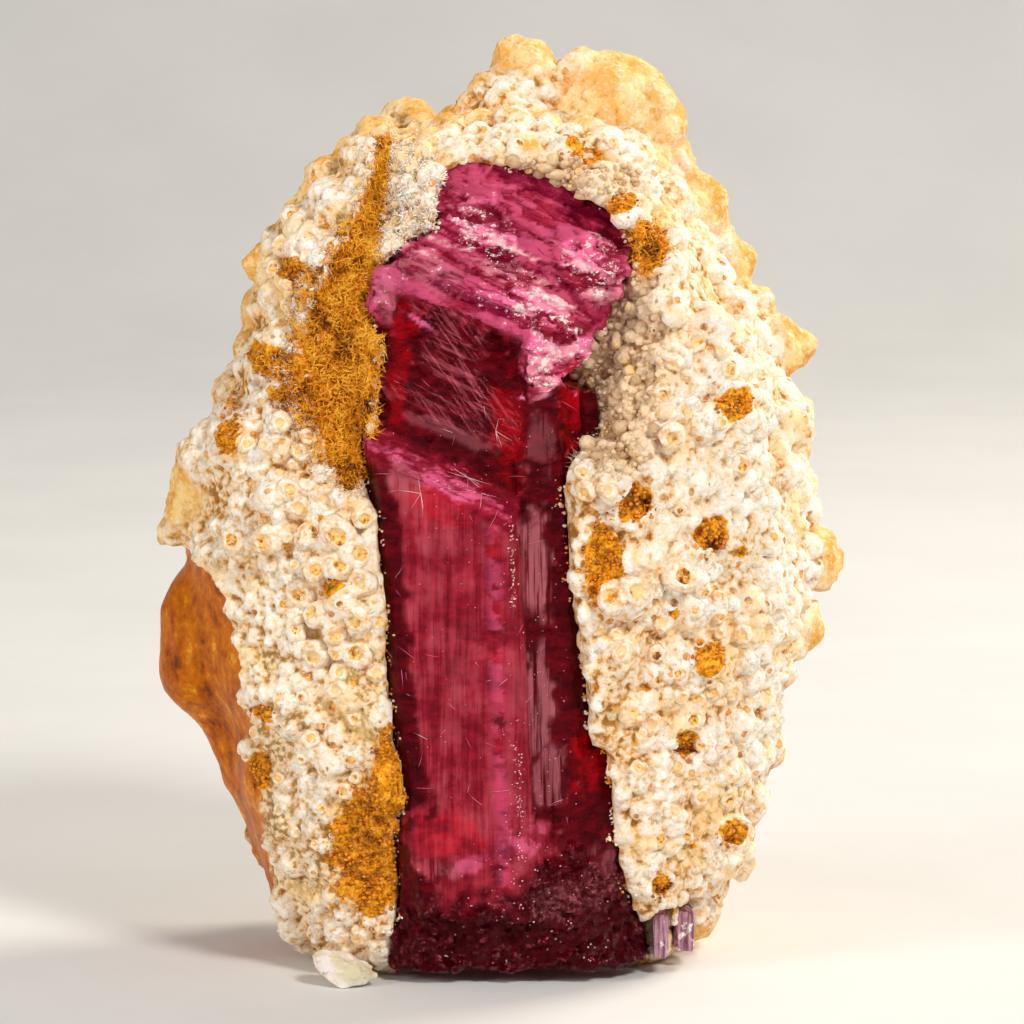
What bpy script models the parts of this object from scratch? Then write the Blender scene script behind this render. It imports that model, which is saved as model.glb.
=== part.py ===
"""Rhodonite on matrix: a red rhodonite crystal held in the front of a lumpy cream crust.

Metres, +Z up. +X is to the right of someone who faces the crystal, and -Y points at them.
The origin is under the middle of the specimen, on its flat broken underside.
"""

import math
import random

import bmesh
import bpy
import numpy as np
from mathutils import Matrix, Vector, noise

MM = 0.001

# Driving dimensions, in millimetres until a mesh is made.
CLEARANCE = 0.3        # between the matrix and each crystal or chip that it holds
VOXEL = 0.42           # grain of the matrix before it is thinned out
MATRIX_TRIANGLES = 7600
SWELL, SWELL_LENGTH = 0.55, 5.5         # height and length of the matrix's broad swells
SWELL_PLACE = Vector((3.1, 7.7, 1.9))   # where in the noise the swells start
RIPPLE, RIPPLE_LENGTH = 0.28, 1.7       # height and length of its small ones
BEHIND_CRYSTAL = -3.0  # Y of the crystal's hidden back
CRYSTAL_FOOT = 0.7     # Z of the crystal's broken lower end
SEED = 11
WELD = 0.002           # points nearer than this are made one

# The matrix without its knobs, from the ground up: (Z, left X, right X, front Y, back Y).
MATRIX_LEVELS = [
    (0.0, -9.0, 9.2, -5.8, 6.0),
    (0.9, -10.4, 10.0, -7.6, 7.4),
    (3.2, -11.6, 11.2, -8.4, 8.4),
    (5.7, -12.3, 12.8, -8.8, 9.2),
    (8.2, -12.9, 13.6, -9.0, 9.8),
    (10.8, -13.6, 14.1, -9.2, 10.4),
    (13.3, -14.4, 14.8, -9.3, 10.8),
    (15.8, -15.0, 15.5, -9.4, 11.0),
    (18.3, -15.4, 15.8, -9.4, 11.0),
    (20.9, -15.5, 15.9, -9.4, 11.0),
    (23.4, -15.3, 15.7, -9.4, 10.9),
    (25.9, -14.6, 15.5, -9.3, 10.7),
    (28.4, -13.3, 15.3, -9.3, 10.4),
    (31.0, -12.4, 14.1, -9.3, 10.0),
    (33.5, -11.6, 12.7, -9.2, 9.6),
    (36.0, -11.0, 11.2, -9.0, 9.0),
    (38.5, -9.3, 9.5, -8.4, 8.6),
    (40.5, -7.9, 8.2, -7.2, 7.8),
    (41.9, -6.3, 7.4, -5.6, 6.8),
    (42.7, -4.2, 6.0, -3.2, 5.4),
]
ROUNDNESS = 2.35       # 2 is an ellipse, and more is squarer
RING_POINTS = 48

# Lumps and knobs that stand out of the matrix: (start, start radius, end, end radius).
KNOBS = [
    ((1.5, 2.6, 42.0), 2.2, (1.6, 3.0, 45.6), 1.4),       # tower on the top
    ((6.2, 3.4, 42.3), 3.5, (6.5, 3.6, 42.6), 3.6),       # large lobe beside it
    ((8.0, 3.0, 38.6), 2.4, (7.2, 3.4, 40.6), 2.6),
    ((4.6, 2.6, 44.4), 1.2, (4.8, 2.8, 45.2), 1.0),
    ((0.2, 1.0, 41.9), 2.0, (0.4, 1.0, 43.0), 1.6),       # shoulder of the tower
    ((-5.6, -1.6, 42.0), 1.0, (-6.0, -1.6, 42.5), 0.75),
    ((-8.6, -1.4, 37.5), 2.0, (-9.0, -1.0, 37.9), 1.7),   # lumps down the left
    ((-10.6, -1.0, 35.6), 1.1, (-11.5, -1.0, 35.6), 0.8),
    ((-10.6, -1.0, 33.6), 1.2, (-11.2, -1.0, 33.7), 0.95),
    ((-13.9, -0.6, 25.0), 2.3, (-14.3, -0.2, 22.7), 2.3),
    ((-13.7, 0.6, 17.6), 3.5, (-13.7, 0.6, 14.8), 3.5),   # smooth ochre lobe
    ((-13.2, 0.8, 13.2), 2.7, (-12.2, 0.4, 9.6), 1.9),
    ((10.0, 1.9, 38.0), 1.7, (10.7, 2.0, 38.3), 1.5),     # knobs down the right
    ((11.8, 1.8, 35.4), 1.4, (12.8, 2.0, 35.4), 0.9),
    ((12.6, 1.4, 33.1), 1.3, (13.2, 1.5, 33.1), 1.0),
    ((13.6, 1.2, 31.0), 2.0, (15.9, 2.0, 30.9), 1.0),
    ((14.9, 1.3, 27.4), 1.3, (15.2, 1.4, 26.4), 1.2),
    ((14.9, 1.4, 23.0), 1.4, (15.5, 1.6, 23.0), 1.1),
    ((15.0, 1.5, 20.4), 1.9, (16.7, 2.0, 20.5), 0.8),
    ((14.6, 1.5, 16.3), 1.8, (16.3, 2.0, 16.1), 0.75),
    ((14.0, 1.4, 13.6), 1.3, (14.7, 1.5, 13.5), 1.0),
    ((13.4, 1.0, 10.2), 1.5, (14.7, 1.6, 10.1), 0.7),
    ((13.0, 1.0, 7.9), 1.2, (13.6, 1.0, 7.8), 0.9),
    ((11.8, 0.5, 5.3), 1.6, (12.6, 0.8, 5.0), 1.1),
    ((9.8, 0.0, 2.9), 1.2, (10.6, 0.0, 2.7), 0.8),
]
BACK_KNOBS = 30        # further knobs, scattered over the back
BACK_KNOB_RADIUS = (0.9, 2.2)
BACK_KNOB_HEIGHTS = (3.0, 40.0)
BACK_KNOB_ARC = (24, 156)               # degrees round the back, from the right
BACK_KNOB_SPACING = 2.6
BACK_SWELL, BACK_SWELL_LENGTH = 1.3, 8.0  # the back is less even than the front

# Relief on the front: (X, Z, radius, height). A negative height sinks a pit with a raised lip.
FRONT_RELIEF = [
    (5.5, 25.5, 1.5, 0.9), (7.6, 24.3, 0.95, -0.9), (11.2, 22.0, 1.1, -0.9),
    (9.7, 20.5, 1.0, 0.7), (7.6, 20.2, 1.1, 0.7), (6.3, 19.6, 1.0, 0.6),
    (6.7, 16.3, 1.5, 0.9), (11.2, 15.9, 1.4, 0.9), (9.7, 11.8, 1.05, -0.9),
    (7.4, 13.2, 0.9, 0.5), (12.1, 6.5, 0.9, -0.7), (8.6, 4.6, 0.85, -0.6),
    (7.9, 36.4, 1.0, -1.0), (8.5, 34.0, 1.3, 0.7), (8.7, 31.5, 1.3, 0.6),
    (8.9, 28.0, 1.2, 0.7), (11.0, 32.5, 1.5, 0.7), (12.3, 28.5, 1.7, 0.7),
    (12.2, 25.2, 1.2, 0.6), (13.0, 18.4, 1.3, 0.6), (9.2, 8.1, 1.2, 0.5),
    (7.4, 38.6, 1.1, 0.6), (1.9, 42.4, 1.2, 0.6), (-11.3, 30.4, 0.9, -0.8),
    (-12.3, 27.0, 1.9, 0.9), (-10.8, 23.8, 1.8, 0.9), (-8.9, 22.2, 1.2, 0.5),
    (-7.5, 21.4, 1.0, 0.5), (-7.1, 19.3, 1.1, 0.5), (-8.5, 17.8, 0.8, -0.5),
    (-7.0, 15.8, 1.0, 0.5), (-9.6, 13.6, 1.4, 0.5), (-7.7, 11.2, 1.2, 0.5),
    (-10.3, 7.8, 1.2, 0.4), (-9.9, 36.9, 1.5, 0.6), (-8.3, 34.1, 1.3, 0.5),
]
# The worn channel left of the crystal that holds ochre needles: (X, Z, half width).
OCHRE_CHANNEL = [
    (-5.3, 40.4, 0.8), (-6.3, 37.0, 1.1), (-7.0, 33.5, 1.6), (-7.6, 30.5, 2.0), (-6.8, 27.5, 1.3),
    (-6.3, 25.2, 0.7),
]
CHANNEL_DEPTH = 0.8
LIP_HEIGHT, LIP_WIDTH = 0.45, 0.28      # of a pit, the width as a share of its radius
PIT_WIDTH = 0.62
# The ochre hollow at the foot of the left side: (X, Z, half width, half height, depth).
LEFT_HOLLOW = (-5.8, 7.0, 2.6, 3.38, 0.7)

# Mouth of the pocket that shows the crystal: (X, Z, how far the rim flares out).
POCKET_MOUTH = [
    (-2.3, 40.4, 0.6), (-0.5, 40.9, 1.4), (1.3, 40.1, 2.2), (2.9, 39.6, 2.6), (4.4, 39.0, 2.6),
    (5.6, 38.2, 2.4), (6.9, 37.3, 1.4), (6.6, 35.3, 2.9), (5.6, 33.3, 4.4), (5.0, 31.0, 4.9),
    (4.6, 28.6, 3.6), (3.3, 25.6, 0.8), (3.6, 22.0, 0.5), (4.1, 18.0, 0.5), (4.6, 14.0, 0.5),
    (5.7, 10.6, 0.5), (6.1, 6.7, 0.4), (7.1, 3.8, 0.4), (7.5, -1.0, 0.3), (-4.5, -1.0, 0.3),
    (-4.1, 2.7, 0.3), (-3.7, 6.2, 0.3), (-3.9, 9.3, 0.3), (-4.6, 13.3, 0.4), (-5.0, 19.4, 0.4),
    (-5.3, 23.4, 0.4), (-6.1, 26.4, 0.3), (-5.3, 28.5, 0.3), (-5.1, 33.0, 0.4), (-5.7, 34.4, 0.5),
    (-5.1, 36.1, 0.6), (-3.7, 37.4, 0.7), (-2.4, 38.0, 0.6),
]
MOUTH_STATIONS = ((-4.6, 0.0), (-9.4, 1.0), (-16.0, 1.7))  # (Y, share of the flare)

# The crystal's blocks, each the hull of its corners: (X, Y, Z).
SLAB = [                    # the proud lower face, under its slanting ledge
    (-6.3, -7.5, 26.9), (-5.5, -8.9, 26.3), (0.8, -9.45, 23.9), (1.35, -9.0, 23.7),
    (-6.4, -7.0, 28.3), (1.4, -8.1, 24.5), (-6.4, -3.4, 28.6), (1.5, -3.4, 25.0),
    (-4.4, -7.3, 3.4), (-3.4, -8.8, 3.4), (2.0, -9.25, 3.4), (2.6, -8.7, 3.4),
    (-4.4, -3.4, 3.4), (2.6, -3.4, 3.4),
]
RECESS = [                  # the dark face above the ledge, which leans back as it goes down
    (-5.6, -8.3, 35.0), (2.0, -8.55, 30.0), (2.4, -8.2, 30.2), (1.9, -7.9, 24.6),
    (-5.9, -7.1, 27.8), (-5.9, -3.2, 27.0), (2.2, -3.2, 24.0), (-4.9, -3.2, 37.0),
    (2.9, -3.2, 34.0), (-4.3, -8.2, 36.2), (2.4, -8.3, 33.0),
]
MIDDLE_PLATE = [            # the pink broken edge that overhangs the dark face
    (-5.2, -8.7, 35.2), (-4.2, -8.3, 37.0), (-2.2, -7.3, 37.9), (2.0, -7.4, 35.7),
    (5.7, -6.9, 34.6), (5.9, -7.6, 33.4), (2.2, -9.1, 32.6), (-0.6, -9.0, 34.0),
    (-4.9, -4.0, 36.0), (5.5, -4.0, 33.6), (-2.6, -4.0, 38.0), (4.9, -7.6, 32.6),
]
HANGING_PLATE = [           # its lower right end, which hangs over the recess
    (1.8, -9.05, 32.9), (5.1, -7.9, 33.6), (1.85, -8.9, 29.5), (3.1, -8.7, 30.1),
    (3.5, -8.4, 31.2), (4.6, -8.0, 31.4), (1.9, -6.0, 30.0), (4.6, -6.0, 31.6),
    (1.9, -6.0, 33.6), (5.0, -6.0, 33.6),
]
TOP_PLATES = [              # the shingled broken end, front to back
    [
        (-2.9, -7.7, 37.6), (-2.4, -7.5, 38.7), (1.2, -7.7, 37.6), (6.0, -7.1, 35.6),
        (6.5, -7.0, 34.6), (5.9, -7.3, 34.2), (1.8, -8.1, 35.6), (-2.7, -4.0, 38.0),
        (6.6, -4.0, 35.0), (1.2, -4.0, 38.6),
    ],
    [
        (-2.9, -7.0, 38.6), (-2.5, -6.7, 39.7), (1.6, -6.8, 39.0), (6.4, -6.4, 37.1),
        (6.9, -6.3, 35.8), (6.2, -6.8, 35.2), (1.8, -7.3, 37.3), (-2.7, -3.6, 39.0),
        (6.9, -3.6, 36.0), (1.4, -3.6, 39.8),
    ],
    [
        (-2.9, -6.0, 39.6), (-2.5, -5.2, 41.0), (1.4, -5.6, 40.8), (5.8, -5.2, 38.9),
        (7.3, -5.3, 37.7), (7.1, -5.8, 36.6), (1.8, -6.4, 38.7), (-2.6, -3.0, 40.4),
        (7.2, -3.0, 37.4), (1.2, -3.0, 40.9),
    ],
]
SIDE_BUD = [                # a small pink bud grown on the crystal's upper left edge
    (-5.9, -8.5, 34.0), (-4.6, -8.8, 33.9), (-5.6, -8.7, 35.9), (-4.5, -8.9, 36.0),
    (-6.0, -6.8, 33.8), (-4.4, -6.8, 33.8), (-5.6, -6.8, 36.2), (-4.4, -6.8, 36.2),
]
RED_BLOCK = [               # a short proud block low on the right
    (3.1, -8.35, 11.6), (5.9, -7.4, 12.0), (6.75, -5.9, 11.8), (6.9, -3.3, 11.6), (3.2, -3.3, 11.5),
    (3.3, -8.5, 6.4), (6.2, -7.6, 6.4), (7.0, -6.0, 6.4), (7.0, -3.3, 6.4), (3.4, -3.3, 6.4),
]
FOOT = [                    # the rough dark lower end
    (-4.3, -8.1, 5.8), (4.4, -8.6, 5.9), (6.3, -7.2, 6.3), (7.0, -5.6, 5.6), (7.2, -3.1, 5.4),
    (-4.6, -3.1, 5.6), (-5.0, -7.2, CRYSTAL_FOOT), (-4.0, -7.9, CRYSTAL_FOOT),
    (5.2, -7.9, CRYSTAL_FOOT), (7.8, -6.0, CRYSTAL_FOOT), (8.0, -3.1, CRYSTAL_FOOT),
    (-5.0, -3.1, CRYSTAL_FOOT),
]
# The right flank is a fan of narrow upright laths: (right edge X at the top, front Y at the top).
FLANK_TOP, FLANK_BOTTOM = 31.0, 3.0
FLANK_LATHS = [(2.1, -8.35), (2.7, -8.2), (3.3, -8.15), (3.75, -7.75), (4.4, -7.2), (5.3, -6.3)]
FLANK_LEFT = 1.0
FLANK_STEP = 0.25          # each lath ends this much below the one on its left
FLANK_DRIFT = 1.45         # how far the laths move right on the way down
FLANK_SPREAD = 1.12        # and how much wider their fan grows

# Small mauve crystals at the lower right: (left X, right X, front Y, top Z).
MAUVE_BARS = {"mauve_crystal_inner": (8.25, 8.95, -5.9, 3.4), "mauve_crystal_outer": (9.3, 10.3, -4.2, 3.2)}
BAR_DEPTH = 2.0
BAR_FOOT = 0.9

# The pale flake wedged under the lower left edge.
CHIP = [
    (-9.0, -8.3, 1.5), (-8.2, -8.7, 1.75), (-7.3, -8.9, 1.5), (-6.2, -8.8, 0.9), (-5.5, -8.3, 0.55),
    (-6.1, -8.6, 0.1), (-7.4, -8.9, 0.0), (-8.0, -8.7, 0.35), (-8.7, -8.4, 0.9), (-8.6, -6.8, 1.5),
    (-7.2, -6.7, 1.5), (-5.9, -6.9, 0.8), (-6.6, -6.9, 0.0), (-7.9, -7.0, 0.0), (-8.6, -6.9, 0.8),
]

# Each piece's material: (name, colour, roughness).
LOOKS = {
    "matrix": ("cream_crust", (0.80, 0.70, 0.52), 0.85),
    "rhodonite": ("rhodonite_red", (0.30, 0.008, 0.03), 0.12),
    "mauve": ("mauve_bars", (0.42, 0.20, 0.30), 0.45),
    "pale_chip": ("pale_flake", (0.80, 0.76, 0.58), 0.4),
}


def clear_scene():
    for obj in list(bpy.data.objects):
        bpy.data.objects.remove(obj)


def material(name, colour, roughness):
    made = bpy.data.materials.new(name)
    made.use_nodes = True
    shader = made.node_tree.nodes["Principled BSDF"]
    shader.inputs["Base Color"].default_value = (*colour, 1.0)
    shader.inputs["Roughness"].default_value = roughness
    made.diffuse_color = (*colour, 1.0)
    return made


def add_object(name, mesh):
    obj = bpy.data.objects.new(name, mesh)
    bpy.context.scene.collection.objects.link(obj)
    return obj


def mesh_from(name, bm):
    """A mesh in metres from a bmesh in millimetres, with its faces pointing out."""
    bmesh.ops.recalc_face_normals(bm, faces=bm.faces)
    bmesh.ops.scale(bm, vec=Vector((MM, MM, MM)), verts=bm.verts)
    mesh = bpy.data.meshes.new(name)
    bm.to_mesh(mesh)
    bm.free()
    return mesh


def as_cutter(obj):
    obj.hide_render = True
    obj.display_type = "WIRE"
    return obj


def boolean(obj, other, operation):
    modifier = obj.modifiers.new(f"{operation.lower()} {other.name}", "BOOLEAN")
    modifier.operation = operation
    modifier.solver = "EXACT"
    modifier.object = other


def cut_with_all(obj, cutters):
    """Cuts all of them away in one pass, which leaves cleaner edges than one after another."""
    group = bpy.data.collections.new(obj.name + " cutters")
    bpy.context.scene.collection.children.link(group)
    for cutter in cutters:
        group.objects.link(as_cutter(cutter))
    modifier = obj.modifiers.new("cut", "BOOLEAN")
    modifier.operation = "DIFFERENCE"
    modifier.solver = "EXACT"
    modifier.operand_type = "COLLECTION"
    modifier.collection = group
    applied(obj)


def applied(obj):
    """Replaces the object's mesh by the result of its modifiers."""
    bpy.context.view_layer.update()
    graph = bpy.context.evaluated_depsgraph_get()
    mesh = bpy.data.meshes.new_from_object(obj.evaluated_get(graph))
    obj.modifiers.clear()
    obj.data = mesh
    return obj


# --- crystals -------------------------------------------------------------------------------


def hull(name, corners):
    """The convex solid of these corners."""
    bm = bmesh.new()
    for corner in corners:
        bm.verts.new(corner)
    found = bmesh.ops.convex_hull(bm, input=bm.verts)
    inner = {e for e in found["geom_interior"] + found["geom_unused"] if isinstance(e, bmesh.types.BMVert)}
    bmesh.ops.delete(bm, geom=list(inner), context="VERTS")
    bmesh.ops.dissolve_limit(bm, angle_limit=math.radians(1), verts=bm.verts, edges=bm.edges)
    return add_object(name, mesh_from(name, bm))


def flank_laths():
    """Corners of each upright lath of the right flank, from its top to its bottom."""
    lean = 0.12            # the face of each lath turns a little to the right
    back = BEHIND_CRYSTAL - 0.4
    laths, left = [], FLANK_LEFT
    for index, (right, front) in enumerate(FLANK_LATHS):
        top = FLANK_TOP - FLANK_STEP * index
        low = [FLANK_LEFT + (x - FLANK_LEFT) * FLANK_SPREAD + FLANK_DRIFT for x in (left, right)]
        corners = []
        for (x_left, x_right), z in (((left, right), top), (low, FLANK_BOTTOM)):
            corners += [(x_left, front, z), (x_right, front + lean, z), (x_right, back, z), (x_left, back, z)]
        laths.append(corners)
        left = right - 0.15
    return laths


def grown(corners, margin):
    """Corners whose hull stands clear of the first hull by at least the margin."""
    if not margin:
        return corners
    signs = [(i, j, k) for i in (-1, 1) for j in (-1, 1) for k in (-1, 1)]
    return [tuple(c + s * margin for c, s in zip(corner, sign)) for corner in corners for sign in signs]


def union_of(name, blocks, margin=0.0):
    """The hulls of all blocks, grown together as one solid."""
    solid = hull(name, grown(blocks[0], margin))
    for index, corners in enumerate(blocks[1:]):
        boolean(solid, as_cutter(hull(f"{name}_block_{index}", grown(corners, margin))), "UNION")
    return applied(solid) if len(blocks) > 1 else solid


def crystal_blocks():
    return [
        SLAB, RECESS, MIDDLE_PLATE, HANGING_PLATE, SIDE_BUD, RED_BLOCK, FOOT, *TOP_PLATES, *flank_laths()
    ]


def mauve_corners(left, right, front, top):
    """A short upright bar with a blunt two-faced head, broken off flush at its foot."""
    bevel = 0.18
    middle = (left + right) / 2
    back = front + BAR_DEPTH
    outline = [
        (left + bevel, front), (right - bevel, front), (right, front + bevel), (right, back),
        (left, back), (left, front + bevel),
    ]
    corners = [(x, y, z) for x, y in outline for z in (BAR_FOOT, top - 0.35)]
    return corners + [(middle, front + 0.4, top), (middle, back - 0.3, top)]


# --- matrix ---------------------------------------------------------------------------------


def matrix_ring(level):
    """Points round the matrix at one level, squarer than an ellipse."""
    z, left, right, front, back = level
    points = []
    for step in range(RING_POINTS):
        angle = 2 * math.pi * step / RING_POINTS
        c, s = math.cos(angle), math.sin(angle)
        along = math.copysign(abs(c) ** (2 / ROUNDNESS), c)
        across = math.copysign(abs(s) ** (2 / ROUNDNESS), s)
        reach_x = right if c > 0 else -left
        reach_y = back if s > 0 else -front
        points.append((along * reach_x, across * reach_y, z))
    return points


def add_rings(bm, rings):
    """A closed solid through rings of as many points, from the first to the last."""
    rows = [[bm.verts.new(p) for p in ring] for ring in rings]
    for lower, upper in zip(rows, rows[1:]):
        for i in range(len(lower)):
            j = (i + 1) % len(lower)
            bm.faces.new((lower[i], lower[j], upper[j], upper[i]))
    bm.faces.new(list(reversed(rows[0])))
    bm.faces.new(rows[-1])


def add_knob(bm, start, start_radius, end, end_radius):
    """A row of balls from start to end, which the remesh turns into one rounded knob."""
    start, end = Vector(start), Vector(end)
    steps = max(1, math.ceil((end - start).length / (0.35 * min(start_radius, end_radius) + 0.1)))
    for step in range(steps + 1):
        share = step / steps
        radius = start_radius + (end_radius - start_radius) * share
        bmesh.ops.create_icosphere(
            bm, subdivisions=2, radius=radius, matrix=Matrix.Translation(start.lerp(end, share))
        )


def level_at(z):
    """(left, right, front, back) of the matrix at a height."""
    table = np.array(MATRIX_LEVELS)
    return [float(np.interp(z, table[:, 0], table[:, column])) for column in range(1, 5)]


def scattered_back_knobs():
    """Knobs over the back and the flanks, where the crust grows as it does on the right."""
    draw = random.Random(SEED)
    knobs = []
    while len(knobs) < BACK_KNOBS:
        z = draw.uniform(*BACK_KNOB_HEIGHTS)
        angle = math.radians(draw.uniform(*BACK_KNOB_ARC))
        left, right, _, back = level_at(z)
        reach = right if angle < math.pi / 2 else -left
        across = Vector((reach * math.cos(angle), back * math.sin(angle), 0))
        outward = across.normalized()
        radius = draw.uniform(*BACK_KNOB_RADIUS)
        foot = across + Vector((0, 0, z)) - outward * radius * 0.5
        if any((foot - Vector(other[0])).length < BACK_KNOB_SPACING + radius for other in knobs):
            continue
        tip = foot + outward * radius * 0.9 + Vector((0, 0, draw.uniform(-0.3, 0.3)))
        knobs.append((tuple(foot), radius, tuple(tip), radius * draw.uniform(0.6, 0.8)))
    return knobs


def channel_depth(x, z):
    """How deep the needle channel is at a point of the front."""
    deepest = 0.0
    for (x0, z0, w0), (x1, z1, w1) in zip(OCHRE_CHANNEL, OCHRE_CHANNEL[1:]):
        start, run = Vector((x0, z0)), Vector((x1 - x0, z1 - z0))
        share = min(1.0, max(0.0, (Vector((x, z)) - start).dot(run) / run.length_squared))
        away = (Vector((x, z)) - (start + run * share)).length
        width = w0 + (w1 - w0) * share
        if away < width:
            deepest = max(deepest, CHANNEL_DEPTH * (1 - (away / width) ** 2))
    return deepest


def front_relief(x, z):
    """Height of the knobs, pits and hollows of the front over the plain crust."""
    height = -channel_depth(x, z)
    for knob_x, knob_z, radius, rise in FRONT_RELIEF:
        away = math.hypot(x - knob_x, z - knob_z) / radius
        if away < 1.5 and rise < 0:        # a pit inside a raised lip
            height += LIP_HEIGHT * math.exp(-((away - 1.0) / LIP_WIDTH) ** 2)
            height += rise * math.exp(-((away / PIT_WIDTH) ** 4))
        elif away < 1.0:
            height += rise * (1 - away * away) ** 1.5
    hollow_x, hollow_z, reach_x, reach_z, depth = LEFT_HOLLOW
    away = math.hypot((x - hollow_x) / reach_x, (z - hollow_z) / reach_z)
    return height - depth * max(0.0, 1 - away * away)


def roughen(mesh):
    """Moves the matrix's points along their normals: swells all over, and relief on the front."""
    places = [(v, v.co.copy() / MM, v.normal.copy()) for v in mesh.vertices]
    for vertex, place, normal in places:
        height = SWELL * noise.fractal(place / SWELL_LENGTH + SWELL_PLACE, 1.0, 2.0, 2)
        height += RIPPLE * abs(noise.noise(place / RIPPLE_LENGTH))
        height += BACK_SWELL * noise.noise(place / BACK_SWELL_LENGTH) * max(0.0, normal.y)
        facing = max(0.0, -normal.y)
        if facing > 0.15:
            height += front_relief(place.x, place.z) * min(1.0, facing * 1.8)
        vertex.co = (place + normal * height) * MM
    mesh.update()


def pocket_mouth():
    """The flaring opening in front of the crystal."""
    count = len(POCKET_MOUTH)
    rings = []
    for y, share in MOUTH_STATIONS:
        ring = []
        for i, (x, z, flare) in enumerate(POCKET_MOUTH):
            before, after = POCKET_MOUTH[i - 1], POCKET_MOUTH[(i + 1) % count]
            tangent = Vector((after[0] - before[0], after[1] - before[1])).normalized()
            outward = Vector((-tangent.y, tangent.x))
            ring.append((x + outward.x * flare * share, y, z + outward.y * flare * share))
        rings.append(ring)
    bm = bmesh.new()
    add_rings(bm, rings)
    return as_cutter(add_object("pocket_mouth", mesh_from("pocket_mouth", bm)))


def box_cutter(name, low, high):
    bm = bmesh.new()
    size = Vector(high) - Vector(low)
    centre = (Vector(high) + Vector(low)) / 2
    bmesh.ops.create_cube(bm, size=1.0, matrix=Matrix.Translation(centre) @ Matrix.Diagonal((*size, 1)))
    return as_cutter(add_object(name, mesh_from(name, bm)))


def matrix(held):
    """The whole crust: body and knobs made one, roughened, thinned, then cut for what it holds."""
    bm = bmesh.new()
    add_rings(bm, [matrix_ring(level) for level in MATRIX_LEVELS])
    for knob in KNOBS + scattered_back_knobs():
        add_knob(bm, *knob)
    body = add_object("matrix", mesh_from("matrix", bm))

    remesh = body.modifiers.new("one skin", "REMESH")
    remesh.mode = "VOXEL"
    remesh.voxel_size = VOXEL * MM
    smooth = body.modifiers.new("soften", "SMOOTH")
    smooth.factor, smooth.iterations = 0.5, 3
    applied(body)
    roughen(body.data)

    thin = body.modifiers.new("thin out", "DECIMATE")
    thin.ratio = MATRIX_TRIANGLES / (2 * len(body.data.polygons))
    applied(body)

    cutters = [box_cutter("below_ground", (-40, -40, -20), (40, 40, 0)), pocket_mouth()]
    cutters += [union_of(name + "_pocket", blocks, CLEARANCE) for name, blocks in held.items()]
    cut_with_all(body, cutters)
    body.data.materials.clear()
    body.data.materials.append(material(*LOOKS["matrix"]))
    return body


def mended(obj):
    """Closes the hair-thin slits that the cut leaves, and drops any crumb it left loose."""
    bm = bmesh.new()
    bm.from_mesh(obj.data)
    bmesh.ops.triangulate(bm, faces=bm.faces)
    bmesh.ops.remove_doubles(bm, verts=bm.verts, dist=WELD * MM)
    bmesh.ops.dissolve_degenerate(bm, edges=bm.edges, dist=WELD * MM)
    open_edges = [edge for edge in bm.edges if len(edge.link_faces) == 1]
    bmesh.ops.holes_fill(bm, edges=open_edges, sides=8)
    bmesh.ops.triangulate(bm, faces=bm.faces)

    left, parts = set(bm.verts), []
    while left:
        part, front = set(), [left.pop()]
        while front:
            vertex = front.pop()
            part.add(vertex)
            for edge in vertex.link_edges:
                other = edge.other_vert(vertex)
                if other in left:
                    left.remove(other)
                    front.append(other)
        parts.append(part)
    largest = max(parts, key=len)
    bmesh.ops.delete(bm, geom=[v for v in bm.verts if v not in largest], context="VERTS")
    bm.to_mesh(obj.data)
    bm.free()


def centre_on_origin(objects):
    """Puts the middle of the specimen's box over the origin, and its underside at Z = 0."""
    points = np.array([obj.matrix_world @ v.co for obj in objects for v in obj.data.vertices])
    low, high = points.min(axis=0), points.max(axis=0)
    shift = Vector((-(low[0] + high[0]) / 2, -(low[1] + high[1]) / 2, -low[2]))
    for obj in objects:
        obj.location = shift


def held_by_matrix():
    """The blocks of every piece that the matrix holds, by name."""
    held = {"rhodonite_crystal": crystal_blocks(), "pale_chip": [CHIP]}
    held.update({name: [mauve_corners(*sizes)] for name, sizes in MAUVE_BARS.items()})
    return held


def main():
    clear_scene()
    held = held_by_matrix()
    pieces = []
    for name, blocks in held.items():
        piece = union_of(name, blocks)
        piece.data.materials.clear()
        piece.data.materials.append(material(*LOOKS[name.split("_crystal")[0]]))
        pieces.append(piece)
    body = matrix(held)
    mended(body)
    body.data.shade_smooth()
    body.data.set_sharp_from_angle(angle=math.radians(40))
    centre_on_origin([body, *pieces])


main()
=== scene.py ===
"""Dresses the rhodonite specimen: a clear red crystal in a knobbly cream and ochre crust."""

import functools
import math
import random

import bmesh
import bpy
import numpy as np
from bpy.props import FloatProperty, FloatVectorProperty, IntProperty, PointerProperty
from bpy.types import Operator, Panel, PropertyGroup
from mathutils import Matrix, Vector, noise
from mathutils.bvhtree import BVHTree
from mathutils.kdtree import KDTree


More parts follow.
